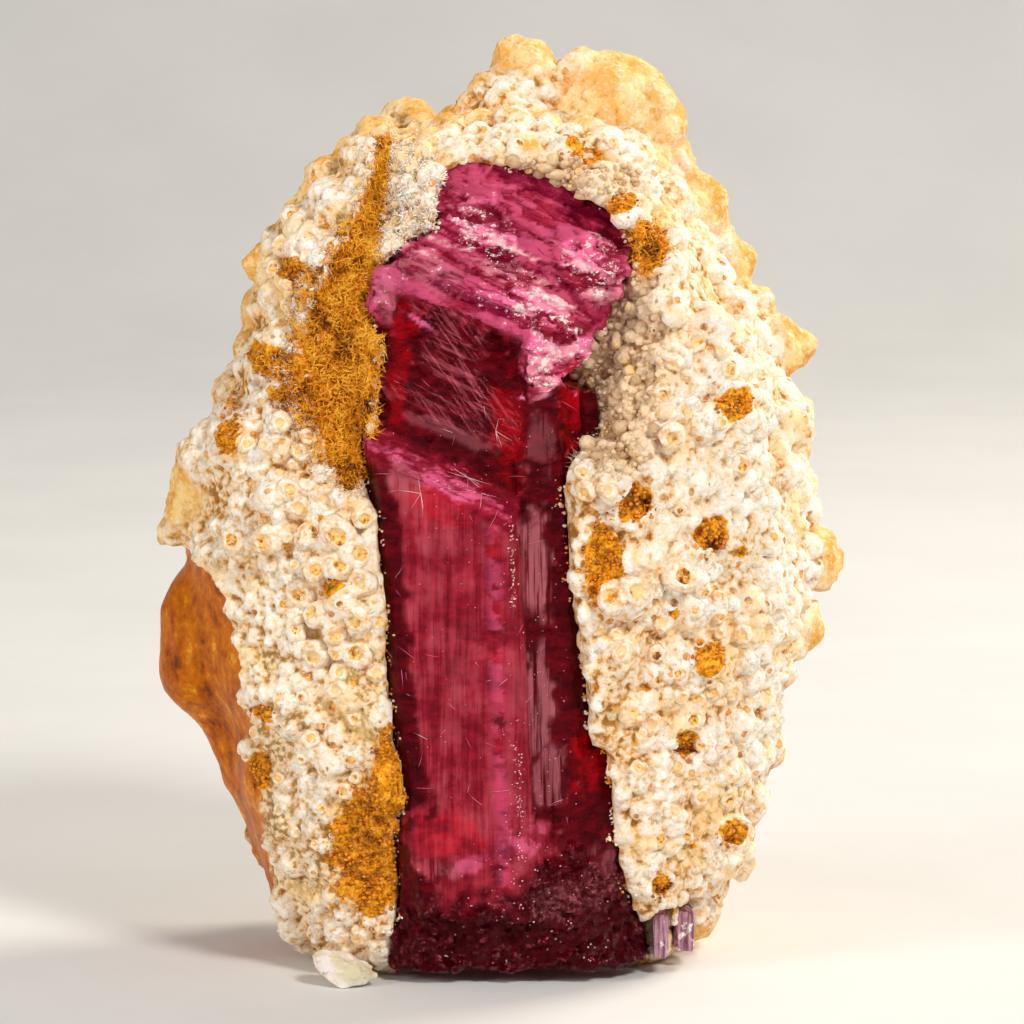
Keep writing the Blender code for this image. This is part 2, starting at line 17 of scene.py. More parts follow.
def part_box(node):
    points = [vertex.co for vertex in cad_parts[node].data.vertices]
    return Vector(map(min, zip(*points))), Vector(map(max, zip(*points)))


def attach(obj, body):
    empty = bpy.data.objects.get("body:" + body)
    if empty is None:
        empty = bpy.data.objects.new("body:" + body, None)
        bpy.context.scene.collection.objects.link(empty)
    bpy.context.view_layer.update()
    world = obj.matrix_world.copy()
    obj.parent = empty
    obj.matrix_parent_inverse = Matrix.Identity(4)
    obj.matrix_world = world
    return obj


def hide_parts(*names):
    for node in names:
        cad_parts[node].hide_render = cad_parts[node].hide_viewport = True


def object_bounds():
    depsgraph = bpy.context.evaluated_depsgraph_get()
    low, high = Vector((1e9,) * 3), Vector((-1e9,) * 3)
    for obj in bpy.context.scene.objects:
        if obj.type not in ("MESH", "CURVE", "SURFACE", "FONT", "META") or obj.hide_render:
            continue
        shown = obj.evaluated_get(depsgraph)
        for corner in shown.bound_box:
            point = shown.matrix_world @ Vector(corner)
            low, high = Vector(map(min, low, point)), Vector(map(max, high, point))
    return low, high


bl_info = {
    "name": "Rhodonite Specimen",
    "version": (1, 0, 0),
    "blender": (4, 5, 0),
    "location": "3D View > Sidebar > Specimen",
    "description": "Dresses a rhodonite crystal and the crust that holds it",
    "category": "Object",
}

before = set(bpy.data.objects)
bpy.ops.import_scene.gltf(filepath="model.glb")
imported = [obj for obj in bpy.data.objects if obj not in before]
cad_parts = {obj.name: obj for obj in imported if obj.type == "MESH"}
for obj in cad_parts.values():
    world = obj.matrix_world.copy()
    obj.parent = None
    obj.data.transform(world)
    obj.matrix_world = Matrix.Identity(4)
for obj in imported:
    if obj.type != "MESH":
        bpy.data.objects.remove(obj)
CAD_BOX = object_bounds()
MM = 0.001
BODY = "root"
CRUST, CRYSTAL, CHIP = "matrix", "rhodonite_crystal", "pale_chip"
BARS = ("mauve_crystal_inner", "mauve_crystal_outer")

# Places below are in millimetres from an upright axis beside the crystal's middle. They are
# (X to the right, Z up), or (X, Y away from the viewer, Z). The crystal's box fixes that axis.
CRYSTAL_REACH_LEFT = 6.4
CRYSTAL_BACK = -3.0
crystal_low, crystal_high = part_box(CRYSTAL)
AXIS = Vector((crystal_low[0] + CRYSTAL_REACH_LEFT * MM, crystal_high[1] - CRYSTAL_BACK * MM, 0.0))
# Small growths on the front reach no further than this Y, and the crust stops a little behind it.
FRONT = CAD_BOX[0][1] - 0.6 * MM
CRUST_FRONT, CRUST_BACK = FRONT + 0.25 * MM, CAD_BOX[1][1] + 0.5 * MM

# Craters and knobs of the crust's front: (X, Z, radius, height), sunk where the height is negative.
FRONT_FEATURES = [
    (5.2, 25.8, 1.4, 0.30), (7.2, 24.5, 1.2, -0.35), (10.9, 22.6, 1.05, -0.5), (12.1, 29.1, 0.9, -0.4),
    (7.7, 27.3, 1.0, 0.4), (12.6, 21.7, 0.4, -0.4), (9.0, 19.0, 0.35, -0.4), (6.5, 17.2, 1.1, 0.45),
    (10.9, 16.5, 1.0, 0.35), (9.7, 12.2, 0.95, -0.35), (10.2, 6.7, 0.3, -0.3), (8.5, 4.9, 0.7, -0.3),
    (-10.5, 24.7, 1.2, 0.5), (-7.8, 20.2, 0.8, -0.5), (-8.1, 23.6, 0.3, -0.5), (7.6, 36.7, 0.95, -0.8),
    (-11.3, 31.2, 0.8, -0.6), (-12.7, 27.2, 1.3, 0.5), (12.1, 7.1, 0.7, -0.35), (8.6, 34.0, 0.9, 0.35),
    (8.7, 31.5, 0.9, 0.35), (-8.9, 36.8, 1.1, 0.35), (1.6, 41.6, 0.8, 0.4), (-7.9, 38.9, 0.8, 0.35),
    (10.9, 33.2, 1.0, 0.35), (12.0, 26.6, 1.2, 0.4), (8.3, 29.6, 0.8, 0.4), (9.3, 9.9, 1.1, 0.3),
    (3.9, 41.5, 0.9, 0.35), (9.3, 36.2, 1.0, 0.35),
]
# The channel of ochre needles left of the crystal: (X, Z, half width).
OCHRE_CHANNEL = [
    (-5.3, 41.8, 0.45), (-5.4, 40.4, 0.5), (-6.1, 37.9, 0.8), (-6.8, 35.8, 1.3), (-7.3, 34.0, 1.9),
    (-7.4, 31.4, 2.3), (-7.3, 29.4, 2.1), (-7.2, 27.7, 1.5), (-6.9, 25.8, 0.7),
]
# Rough ochre patches on the front: (X, Z, reach across, reach up).
OCHRE_PATCHES = [
    (-5.6, 6.9, 2.3, 3.4), (-4.9, 11.2, 0.9, 2.2), (5.6, 21.4, 0.9, 2.1), (7.6, 36.8, 1.1, 1.2),
    (7.2, 24.5, 0.9, 1.0), (10.9, 22.6, 0.8, 1.0), (12.1, 29.1, 0.9, 0.6), (10.9, 16.5, 0.8, 0.8),
    (9.7, 12.2, 0.6, 0.8), (8.5, 4.9, 0.5, 0.7), (-13.0, 27.7, 0.6, 1.3), (-8.9, 29.6, 1.9, 0.8),
    (-10.4, 31.0, 1.3, 0.7), (6.6, 39.0, 0.7, 0.5), (4.6, 41.4, 1.0, 0.4), (-9.6, 35.6, 0.8, 0.7),
    (-11.6, 10.4, 0.5, 1.0), (-11.3, 13.6, 0.6, 0.5), (12.1, 7.1, 0.6, 0.7), (9.0, 27.8, 0.5, 0.5),
]
# Patches under a mat of needles, and patches of golden grains, in the same terms.
NEEDLE_PATCHES = [(7.6, 36.8, 1.2, 1.3), (-8.9, 29.6, 1.9, 0.8), (-10.4, 31.0, 1.3, 0.7)]
GRAIN_PATCHES = [(-5.6, 6.9, 2.4, 3.6), (-4.9, 11.2, 1.0, 2.4), (5.6, 21.4, 1.0, 2.3)]
# Balls of space where the crust turns warm and waxy: (X, Y, Z, radius).
WARM_KNOBS = [
    (1.6, 3.0, 45.6, 2.6), (6.6, 3.6, 42.8, 5.2), (15.6, 2.0, 30.9, 3.2), (10.7, 2.0, 38.4, 2.4),
    (12.9, 2.0, 35.4, 1.9), (15.5, 1.4, 26.6, 2.2), (16.8, 2.0, 20.5, 1.7), (16.3, 2.0, 16.1, 1.5),
    (14.8, 1.6, 10.1, 1.2), (13.6, 1.0, 7.8, 1.1), (12.6, 0.8, 5.0, 1.3), (-11.7, -1.0, 35.7, 1.8),
    (-9.4, -1.0, 38.2, 1.8), (-6.0, -1.6, 42.6, 1.1), (-12.8, -6.0, 27.1, 1.3), (2.0, -6.0, 42.2, 1.2),
    (-15.6, -1.0, 24.0, 2.4),
]
# The bare waxy layer on the left flank lies left of this line: (Z, X).
WAXY_EDGE = [
    (-1.0, -9.6), (2.2, -10.4), (4.4, -11.1), (9.4, -11.6), (12.4, -12.4), (15.1, -12.5),
    (16.6, -12.9), (19.3, -13.3), (20.6, -14.2), (21.2, -16.0), (22.0, -20.0),
]
# Cups with a raised ring and an ochre floor: (X, Z, radius).
NAMED_CUPS = [
    (4.6, 26.1, 0.40), (4.7, 25.2, 0.42), (5.8, 25.3, 0.40), (7.2, 20.3, 0.60), (6.0, 20.0, 0.60),
    (9.5, 20.9, 0.65), (9.0, 27.8, 0.50), (6.5, 17.2, 0.38), (8.3, 15.7, 0.45), (7.1, 14.0, 0.50),
    (8.1, 13.3, 0.35), (9.2, 8.8, 0.40), (10.6, 9.4, 0.40), (-11.1, 22.5, 0.60), (-7.5, 23.0, 0.75),
    (-8.7, 23.0, 0.50), (-6.5, 22.1, 0.65), (-7.4, 21.5, 0.55), (-6.4, 20.6, 0.60), (-9.4, 19.8, 0.60),
    (-8.7, 19.0, 0.55), (-6.6, 18.8, 0.60), (-7.9, 24.6, 0.65), (-6.6, 17.0, 0.60), (-8.7, 16.8, 0.60),
    (-12.8, 22.3, 0.55), (-9.4, 26.9, 0.40), (-9.9, 25.1, 0.45), (-5.6, 19.6, 0.36), (-8.6, 21.2, 0.45),
    (-7.6, 17.9, 0.38), (-5.6, 16.0, 0.35), (-7.6, 15.1, 0.40), (-9.6, 18.0, 0.38), (-10.4, 14.6, 0.35),
    (-6.7, 13.6, 0.35), (-8.9, 12.6, 0.35), (12.5, 26.1, 0.40), (13.7, 23.6, 0.40), (12.6, 17.6, 0.35),
    (11.4, 19.6, 0.35), (10.4, 14.4, 0.30), (12.2, 14.6, 0.35), (7.4, 11.1, 0.35), (8.4, 7.4, 0.40),
]
# Where smaller cups crowd the crust: (X, Z, reach across, reach up, cups, smallest, largest radius).
CUP_BEDS = [
    (-7.9, 20.6, 2.6, 5.0, 15, 0.20, 0.42), (-9.0, 11.6, 2.9, 6.4, 15, 0.18, 0.36),
    (8.8, 18.5, 3.8, 7.5, 15, 0.20, 0.42), (10.4, 9.5, 2.9, 5.5, 10, 0.18, 0.38),
    (11.0, 29.0, 2.8, 6.0, 9, 0.22, 0.45), (-10.8, 27.0, 2.6, 3.6, 9, 0.20, 0.40),
    (1.5, 41.9, 5.0, 1.0, 8, 0.20, 0.35), (-9.4, 35.5, 2.0, 3.4, 7, 0.20, 0.40),
]
# Grey balls hang on the slope right of the crystal's head and in a strip under the top rim, and
# fine fuzz grows between them in two spots: (X, Z, reach across, reach up). Both places face away from
# the light, and their grey-brown, on the crust and on the balls, is painted shade.
GREY_SLOPE = (6.4, 31.0, 2.4, 5.4)
UNDER_RIM = (3.4, 40.3, 4.2, 1.1)
FUZZ_SPOTS = ((5.2, 30.0, 1.3, 3.6), (5.4, 26.6, 1.2, 1.2))
# Where the painted shade between the bumps grows strong and the crust turns olive, in the same terms.
OLIVE_REGION = (-8.5, 12.0, 5.0, 10.0)
# White frost spikes out beside the crystal's upper left corner, with golden spikes left of it.
FROST_CORNER = (-3.3, 38.9, 1.6, 2.4)
GOLDEN_CORNER = (-4.6, 38.6, 2.2, 4.0)

# Strokes laid on the crystal, by mask: (X, Z, reach along, reach across, tilt in degrees, strength).
CRYSTAL_STROKES = {
    "rose": [
        (-2.5, 25.4, 4.2, 1.0, -27, 0.8), (2.5, 39.1, 5.2, 1.1, -20, 0.9),
        (1.5, 34.5, 5.5, 2.3, -26, 0.7), (-2.5, 7.6, 2.3, 1.8, 0, 0.9), (2.1, 7.4, 1.3, 1.4, 0, 0.9),
    ],
    "pink": [
        (-2.5, 25.6, 4.1, 0.5, -27, 0.5), (2.5, 39.1, 5.0, 0.8, -20, 0.35),
        (-0.7, 38.4, 1.8, 1.2, -18, 0.85), (-0.4, 37.2, 2.1, 0.45, -18, 0.9),
        (5.1, 36.0, 2.0, 1.8, -28, 0.8), (-3.0, 35.9, 2.0, 0.9, -18, 0.2),
        (2.5, 33.9, 2.6, 1.0, -26, 0.95), (2.7, 31.4, 1.0, 2.0, 4, 0.9), (4.3, 32.4, 0.7, 1.5, 0, 0.75),
        (0.2, 34.5, 1.4, 0.55, -24, 0.65), (-1.0, 6.4, 0.9, 0.5, 0, 0.3), (2.0, 7.6, 0.9, 0.9, 0, 0.35),
        (-3.4, 33.4, 0.9, 0.16, -32, 0.6),
    ],
    # Pale is partly the frosty pale edges of the broken plates and partly painted highlight where the
    # light catches their edges, with painted glints at the right.
    "pale": [
        (-1.0, 38.9, 1.3, 0.5, -15, 0.2), (5.2, 35.1, 1.3, 0.9, -28, 0.5),
        (0.9, 35.7, 2.3, 0.55, -24, 0.42), (2.9, 33.9, 2.0, 0.6, -26, 0.4),
        (2.6, 30.8, 0.75, 1.2, 0, 0.75), (3.4, 32.2, 0.8, 1.1, 0, 0.6), (-5.2, 34.5, 0.5, 0.9, 0, 0.12),
        (-0.6, 38.0, 1.8, 0.12, -28, 1.0), (0.9, 37.0, 2.2, 0.13, -22, 1.0),
        (-2.4, 37.3, 1.6, 0.11, -15, 0.9), (1.4, 36.1, 2.4, 0.12, -30, 0.9),
        (4.2, 36.3, 1.4, 0.16, -40, 1.0), (4.6, 35.1, 1.2, 0.14, -35, 0.95),
        (3.4, 34.3, 1.6, 0.14, -25, 1.0), (2.9, 32.8, 0.9, 0.14, -60, 0.95),
        (-3.0, 36.7, 1.3, 0.1, -20, 0.9), (5.9, 36.9, 0.9, 0.14, -50, 1.0),
    ],
    # Mauve is partly painted sheen, the grey reflection of the light down the flank beside the slab, and
    # partly the crystal's own mauve on the plates, the bud, the ledge and the foot.
    "mauve": [
        (-3.0, 36.0, 2.1, 0.9, -18, 0.85), (-5.1, 34.9, 0.65, 1.3, 0, 0.6),
        (-4.2, 25.7, 1.1, 0.9, -20, 0.5), (2.1, 20.9, 0.95, 3.3, -1, 0.95),
        (2.4, 14.5, 0.85, 3.3, -2, 0.85), (2.9, 10.8, 0.9, 1.8, -2, 0.7),
        (2.5, 27.5, 0.8, 1.5, 0, 0.35), (6.0, 5.5, 1.5, 1.5, 0, 0.45), (3.5, 4.4, 1.6, 1.2, 0, 0.5),
        (-2.6, 6.2, 1.3, 0.5, -10, 0.6), (-2.0, 27.9, 2.4, 0.4, -22, 0.4),
    ],
    # Glow is painted light: the bright clear red where light shines through the crystal.
    "glow": [
        (-4.0, 33.6, 0.75, 2.6, -6, 0.55), (-4.6, 30.3, 0.5, 2.7, 0, 0.45),
        (0.9, 27.9, 1.1, 2.9, 0, 0.5), (-2.5, 24.4, 2.1, 0.8, -24, 0.45),
        (-2.2, 7.8, 2.0, 1.4, 0, 0.45), (4.0, 29.4, 0.6, 2.2, -3, 0.7), (4.8, 11.2, 1.0, 2.2, 0, 0.55),
        (5.7, 15.0, 0.5, 3.5, -4, 0.45),
    ],
    "wine": [
        (3.4, 39.4, 4.4, 0.45, -24, 0.9), (0.3, 36.6, 2.9, 0.24, -21, 1.0),
        (-0.4, 34.4, 3.9, 0.28, -24, 0.85), (4.6, 38.1, 2.6, 0.3, -28, 0.8),
        (4.2, 34.6, 1.4, 0.3, -50, 0.8), (5.6, 34.4, 0.6, 1.6, -8, 0.75),
    ],
    "sheaf": [
        (-1.7, 31.4, 1.3, 2.1, 30, 0.9), (0.0, 29.0, 2.2, 1.2, -38, 0.9),
        (-2.4, 29.0, 3.2, 0.9, -24, 0.8), (-2.0, 33.5, 2.6, 0.7, -30, 0.7),
    ],
}
# The crystal's slab starts a little right of this edge of the crust: (Z, X).
SLAB_MARGIN = [
    (3.0, -3.9), (6.5, -3.7), (9.5, -3.9), (13.5, -4.6), (19.5, -5.0), (23.5, -5.3), (26.5, -6.1),
]
# Lower edge of the broken plates, and the slab's slanting ledge: (X, Z).
PLATE_EDGE = [
    (-7.0, 36.2), (-5.2, 35.0), (-0.6, 33.6), (1.8, 32.4), (1.9, 29.4), (3.2, 30.0), (4.8, 31.6),
    (7.0, 33.0),
]
LEDGE = [(-6.4, 28.5), (1.4, 24.6)]
# The pink bud on the crystal's upper left edge: (X, Z, reach across, reach up).
BUD = (-5.4, 35.0, 0.8, 1.5)
# Where the crystal's face shows: lowest and highest X, lowest and highest Z.
FACE_X, FACE_Z = (-6.4, 7.0), (0.8, 41.5)
# A dark spot in the greyish sheen, in the same terms as the bud.
DARK_SPOT = (1.9, 18.1, 0.7, 1.0)
# Stars of hairs on the slab's upper end: (X, Z, hairs).
HAIR_STARS = ((-1.1, 25.6, 9), (-3.4, 25.0, 5), (-0.4, 24.9, 5), (0.3, 28.0, 4))

# How many of each small growth there are, apart from those in the settings.
CORNER_SPIKES, EDGE_SPIKES, SPIKES_PER_TUFT = 600, 1300, 3
SLOPE_BALLS, RIM_BALLS, FUZZ_HAIRS = 260, 150, 1300
FOOT_CRUMBS, RIDGE_CRUMBS = 130, 80

# The gap between crust and crystal is kept as a share of this reach, in millimetres.
GAP_REACH = 2.0
# Neighbouring grains stand this share of their radii apart.
CROWDING = 0.72
# How far the crust's grains and knobs stand out, in radii, and how far its body sinks for them, how deep
# the ochre channel lies and how deep the waxy layer, in millimetres.
GRAIN_RISE, KNOB_RISE, BODY_SINK = 0.38, 0.75, 0.22
CHANNEL_DEPTH, WAXY_DEPTH = 0.5, 0.30
# The slab's seam and bevel drift from where they stand at this height.
SLAB_TOP = 24.0
# Mesh grain of the bars and of the chip, and points nearer than this are one, in millimetres.
BAR_GRAIN, CHIP_GRAIN, WELD = 0.12, 0.15, 0.0005


def spot(x, y, z):
    """A place in metres from a place beside the axis."""
    return AXIS + Vector((x, y, z)) * MM


def smooth_step(low, high, value):
    """0 below low and 1 above high, softly."""
    share = np.clip((value - low) / (high - low), 0.0, 1.0)
    return share * share * (3 - 2 * share)


def turned(x, z, tilt):
    """(along, across) of places against a line tilted by degrees from level."""
    c, s = math.cos(math.radians(tilt)), math.sin(math.radians(tilt))
    return x * c + z * s, z * c - x * s


def inside_oval(x, z, oval, edge=0.25):
    """1 inside the oval and 0 outside it, softly."""
    away = np.hypot((x - oval[0]) / oval[2], (z - oval[1]) / oval[3])
    return 1 - smooth_step(1 - edge, 1 + edge, away)


# --- shader maths ---------------------------------------------------------------------------


class Value:
    """A socket that Python can calculate with: each operation adds a Math node."""

    def __init__(self, tree, socket):
        self.tree, self.socket = tree, socket

    def _math(self, operation, first, second):
        return self.tree.node("ShaderNodeMath", {"operation": operation}, {0: first, 1: second})

    def __add__(self, other):
        return self._math("ADD", self, other)

    def __sub__(self, other):
        return self._math("SUBTRACT", self, other)

    def __rsub__(self, other):
        return self._math("SUBTRACT", other, self)

    def __mul__(self, other):
        return self._math("MULTIPLY", self, other)

    __radd__ = __add__
    __rmul__ = __mul__


class Tree:
    """Writes one material's nodes."""

    def __init__(self, name):
        self.material = bpy.data.materials.new(name)
        self.material.use_nodes = True
        self.nodes = self.material.node_tree.nodes
        self.links = self.material.node_tree.links
        self.nodes.clear()
        self.output = self.nodes.new("ShaderNodeOutputMaterial")

    def node(self, kind, settings=None, inputs=None, out=0):
        """A node with its settings made first and its sockets filled after, as a Value of one output."""
        made = self.nodes.new(kind)
        for key, value in (settings or {}).items():
            if key == "stops":
                self._set_stops(made.color_ramp, value)
            else:
                setattr(made, key, value)
        for key, value in (inputs or {}).items():
            socket = self._socket(made.inputs, key)
            if isinstance(value, Value):
                self.links.new(value.socket, socket)
            else:
                socket.default_value = value
        return Value(self, self._socket(made.outputs, out))

    @staticmethod
    def _socket(sockets, key):
        if isinstance(key, int):
            return sockets[key]
        return next(s for s in sockets if key in (s.identifier, s.name))

    @staticmethod
    def _set_stops(ramp, stops):
        for index, (place, colour) in enumerate(stops):
            stop = ramp.elements[index] if index < 2 else ramp.elements.new(place)
            stop.position = place
            stop.color = (*colour, 1.0)

    def place(self, stretch=(1, 1, 1), turn=0.0):
        """Object coordinates in millimetres, turned about the view if asked, then stretched."""
        where = self.node("ShaderNodeTexCoord", out="Object")
        if turn:
            about = {"rotation_type": "Y_AXIS"}
            where = self.node("ShaderNodeVectorRotate", about, {"Vector": where, "Angle": turn})
        scale = tuple(s / MM for s in stretch)
        return self.node("ShaderNodeVectorMath", {"operation": "MULTIPLY"}, {0: where, 1: scale})

    def noise(self, scale, detail=3.0, roughness=0.55, stretch=(1, 1, 1), distortion=0.0, turn=0.0):
        inputs = {"Scale": scale, "Detail": detail, "Roughness": roughness, "Distortion": distortion}
        return self.node("ShaderNodeTexNoise", {}, {"Vector": self.place(stretch, turn), **inputs})

    def cells(self, scale):
        return self.node("ShaderNodeTexVoronoi", {}, {"Vector": self.place(), "Scale": scale})

    def surface(self, name):
        """A mask kept on the mesh's points."""
        return self.node("ShaderNodeAttribute", {"attribute_name": name}, out="Fac")

    def surfaces(self, names):
        return [self.surface(name) for name in names.split()]

    def ramp(self, value, low, high):
        """0 below low and 1 above high, softly."""
        return self.node(
            "ShaderNodeMapRange", {"interpolation_type": "SMOOTHSTEP"},
            {"Value": value, "From Min": low, "From Max": high},
        )

    def tones(self, value, *stops):
        """A colour that runs through stops given as (value, colour)."""
        return self.node("ShaderNodeValToRGB", {"stops": stops}, {"Fac": value})

    def blend(self, factor, first, second):
        """The first colour where the factor is 0, and the second where it is 1."""
        inputs = {"Factor_Float": factor}
        for key, colour in (("A_Color", first), ("B_Color", second)):
            inputs[key] = colour if isinstance(colour, Value) else (*colour, 1.0)
        return self.node("ShaderNodeMix", {"data_type": "RGBA"}, inputs, out="Result_Color")

    def layers(self, colour, *coats):
        """A colour under coats given as (share, colour), each laid over those before it."""
        for share, coat in coats:
            colour = self.blend(share, colour, coat)
        return colour

    def bump(self, height, strength, distance):
        """Fine relief. The distance is in millimetres."""
        inputs = {"Height": height, "Strength": strength, "Distance": distance * MM}
        return self.node("ShaderNodeBump", {}, inputs)

    def principled(self, **sockets):
        inputs = {key.replace("_", " "): value for key, value in sockets.items()}
        return self.node("ShaderNodeBsdfPrincipled", {}, inputs)

    def finish(self, shader, volume=None):
        self.links.new(shader.socket, self.output.inputs["Surface"])
        if volume:
            self.links.new(volume.socket, self.output.inputs["Volume"])
        return self.material


# --- mesh helpers ---------------------------------------------------------------------------


def add_piece(name, mesh, material, node):
    """A finished piece that rides on the specimen and stands for a CAD node."""
    piece = bpy.data.objects.new(name, mesh)
    bpy.context.scene.collection.objects.link(piece)
    mesh.materials.clear()
    mesh.materials.append(material)
    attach(piece, BODY)
    if node:
        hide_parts(node)
    return piece


def welded_copy(name):
    """A CAD node's mesh with its doubled points made one."""
    bm = bmesh.new()
    bm.from_mesh(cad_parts[name].data)
    bmesh.ops.remove_doubles(bm, verts=bm.verts, dist=WELD * MM)
    return bm


def crisp(mesh, degrees):
    """The mesh shaded smooth but for edges sharper than this."""
    mesh.shade_smooth()
    mesh.set_sharp_from_angle(angle=math.radians(degrees))
    return mesh


def mesh_of(name, bm):
    mesh = bpy.data.meshes.new(name)
    bm.to_mesh(mesh)
    bm.free()
    return mesh


def tree_of(name):
    """A search tree over a CAD node's faces."""
    bm = welded_copy(name)
    bm.normal_update()
    found = BVHTree.FromBMesh(bm)
    bm.free()
    return found


def on_front(tree, x, z):
    """(point, normal) of the surface first met when looking at (X, Z) from the front."""
    point, normal, _, _ = tree.ray_cast(spot(x, -30.0, z), Vector((0, 1, 0)))
    if point is None:
        return None, None
    return point, normal if normal.y < 0 else -normal


def with_modifiers(mesh, *modifiers):
    """The mesh after these modifiers, each given as (type, settings)."""
    holder = bpy.data.objects.new("holder", mesh)
    bpy.context.scene.collection.objects.link(holder)
    for kind, settings in modifiers:
        modifier = holder.modifiers.new(kind, kind)
        for key, value in settings.items():
            setattr(modifier, key, value)
    bpy.context.view_layer.update()
    graph = bpy.context.evaluated_depsgraph_get()
    result = bpy.data.meshes.new_from_object(holder.evaluated_get(graph))
    bpy.data.objects.remove(holder)
    return result


def fine_copy(name, grain, softening):
    """A CAD node's mesh rebuilt from even small faces, the grain in millimetres across."""
    return with_modifiers(
        mesh_of(name + "_fine", welded_copy(name)),
        ("REMESH", {"mode": "VOXEL", "voxel_size": grain * MM}),
        ("SMOOTH", {"factor": 0.5, "iterations": softening}),
    )


def read_vectors(items, name):
    """One vector of each item as rows of an array."""
    values = np.empty(len(items) * 3, dtype=np.float32)
    items.foreach_get(name, values)
    return values.reshape(-1, 3).astype(float)


class Skin:
    """A mesh's points as arrays: places in millimetres from the axis, and normals."""

    def __init__(self, mesh):
        self.mesh = mesh
        self.points = read_vectors(mesh.vertices, "co")
        self.normals = read_vectors(mesh.vertices, "normal")
        self.places = (self.points - np.array(AXIS)) / MM
        self.x, self.y, self.z = self.places.T

    def noise(self, length, layers=1, stretch=(1, 1, 1), shift=0.0):
        """Smooth noise with swells this long at each point, about -0.6 to 0.6."""
        places = self.places * np.array(stretch) / length + shift
        if layers == 1:
            return np.array([noise.noise(place) for place in places])
        return np.array([noise.fractal(place, 1.0, 2.0, layers) for place in places])

    def gap_to(self, tree, reach):
        """(gap in millimetres, step in metres to the nearest point) of each point. The gap is capped."""
        gaps, steps = np.full(len(self.points), float(reach)), np.zeros_like(self.points)
        for index, point in enumerate(self.points):
            near, _, _, gap = tree.find_nearest(point, reach * MM)
            if near is not None:
                gaps[index], steps[index] = gap / MM, np.array(near) - point
        return gaps, steps

    def move(self, heights, steps=0.0):
        """Moves the points along their normals by heights in millimetres, and by steps in metres."""
        moved = self.points + self.normals * (heights * MM)[:, None] + steps
        moved[:, 1] = np.clip(moved[:, 1], CRUST_FRONT, CRUST_BACK)
        moved[:, 2] = np.maximum(moved[:, 2], 0.0)
        self.mesh.vertices.foreach_set("co", moved.astype(np.float32).ravel())
        self.mesh.update()

    def keep(self, **masks):
        for name, values in masks.items():
            attribute = self.mesh.attributes.new(name, "FLOAT", "POINT")
            attribute.data.foreach_set("value", np.clip(values, 0.0, 1.0).astype(np.float32))


class Heap:
    """Many small closed shapes gathered into one mesh."""

    def __init__(self):
        self.points, self.faces, self.masks = [], [], []

    def add(self, points, faces, mask):
        """One shape, with one mask for all of it or a list of one for each point."""
        start = len(self.points)
        self.points += points
        self.faces += [tuple(i + start for i in face) for face in faces]
        self.masks += mask if isinstance(mask, list) else [mask] * len(points)

    def set_down(self, shape, place, mask):
        """A shape's points and faces, moved from the origin to a place."""
        points, faces = shape
        self.add([point + place for point in points], faces, mask)

    def needle(self, start, direction, length, radius, mask, bend=None):
        """A three-sided spike, which bends half way if asked."""
        along = direction.normalized()
        across = along.orthogonal().normalized()
        corners = [Matrix.Rotation(math.tau * i / 3, 3, along) @ across for i in range(3)]
        points = [start + corner * radius for corner in corners]
        faces = [(0, 2, 1)]
        tip = start + along * length
        if bend is not None:
            middle = start + along * length * 0.5
            points += [middle + corner * radius * 0.8 for corner in corners]
            faces += [(0, 1, 4, 3), (1, 2, 5, 4), (2, 0, 3, 5)]
            tip = middle + (along + bend).normalized() * length * 0.5
        last = len(points) - 3
        faces += [(last + i, last + (i + 1) % 3, last + 3) for i in range(3)]
        self.add(points + [tip], faces, mask)

    def mesh(self, name, mask_name, smooth=True):
        mesh = bpy.data.meshes.new(name)
        points = np.array(self.points)
        points[:, 1:] = np.maximum(points[:, 1:], (FRONT, 0.0))
        mesh.from_pydata(points, [], self.faces)
        attribute = mesh.attributes.new(mask_name, "FLOAT", "POINT")
        attribute.data.foreach_set("value", self.masks)
        if smooth:
            mesh.shade_smooth()
        return mesh


def random_shift(rng, reach):
    """A step into the noise, so that no two shapes look alike."""
    return Vector((rng.random(), rng.random(), rng.random())) * reach


def pebble(rng, radius, detail=1):
    """Points and faces of a knobbly grain about the origin."""
    bm = bmesh.new()
    bmesh.ops.create_icosphere(bm, subdivisions=detail, radius=radius)
    twist = random_shift(rng, 90)
    squash = Vector((rng.uniform(0.7, 1.2), rng.uniform(0.7, 1.2), rng.uniform(0.6, 1.0)))
    for vertex in bm.verts:
        swell = 1 + 0.35 * noise.noise(vertex.co / radius * 1.1 + twist)
        vertex.co = vertex.co * squash * swell
    points = [v.co.copy() for v in bm.verts]
    faces = [tuple(v.index for v in f.verts) for f in bm.faces]
    bm.free()
    return points, faces


def random_place(rng, oval):
    """A place (X, Z) inside an oval, each part of it as likely as the next."""
    x, z, across, up = oval
    angle, reach = rng.uniform(0, math.tau), math.sqrt(rng.random())
    return x + across * reach * math.cos(angle), z + up * reach * math.sin(angle)


def random_vector(rng):
    return Vector((rng.gauss(0, 1), rng.gauss(0, 1), rng.gauss(0, 1))).normalized()


# --- crust ----------------------------------------------------------------------------------


def channel_share(x, z):
    """1 along the middle of the ochre channel, 0 at its edges, and less outside it."""
    best = -9.0
    for (x0, z0, w0), (x1, z1, w1) in zip(OCHRE_CHANNEL, OCHRE_CHANNEL[1:]):
        run_x, run_z = x1 - x0, z1 - z0
        share = np.clip(((x - x0) * run_x + (z - z0) * run_z) / (run_x**2 + run_z**2), 0.0, 1.0)
        away = np.hypot(x - x0 - run_x * share, z - z0 - run_z * share)
        best = np.maximum(best, 1 - away / (w0 + (w1 - w0) * share))
    return best


def ochre_share(x, z, patches):
    """1 inside the ochre patches."""
    return np.max([inside_oval(x, z, oval, 0.35) for oval in patches], axis=0)


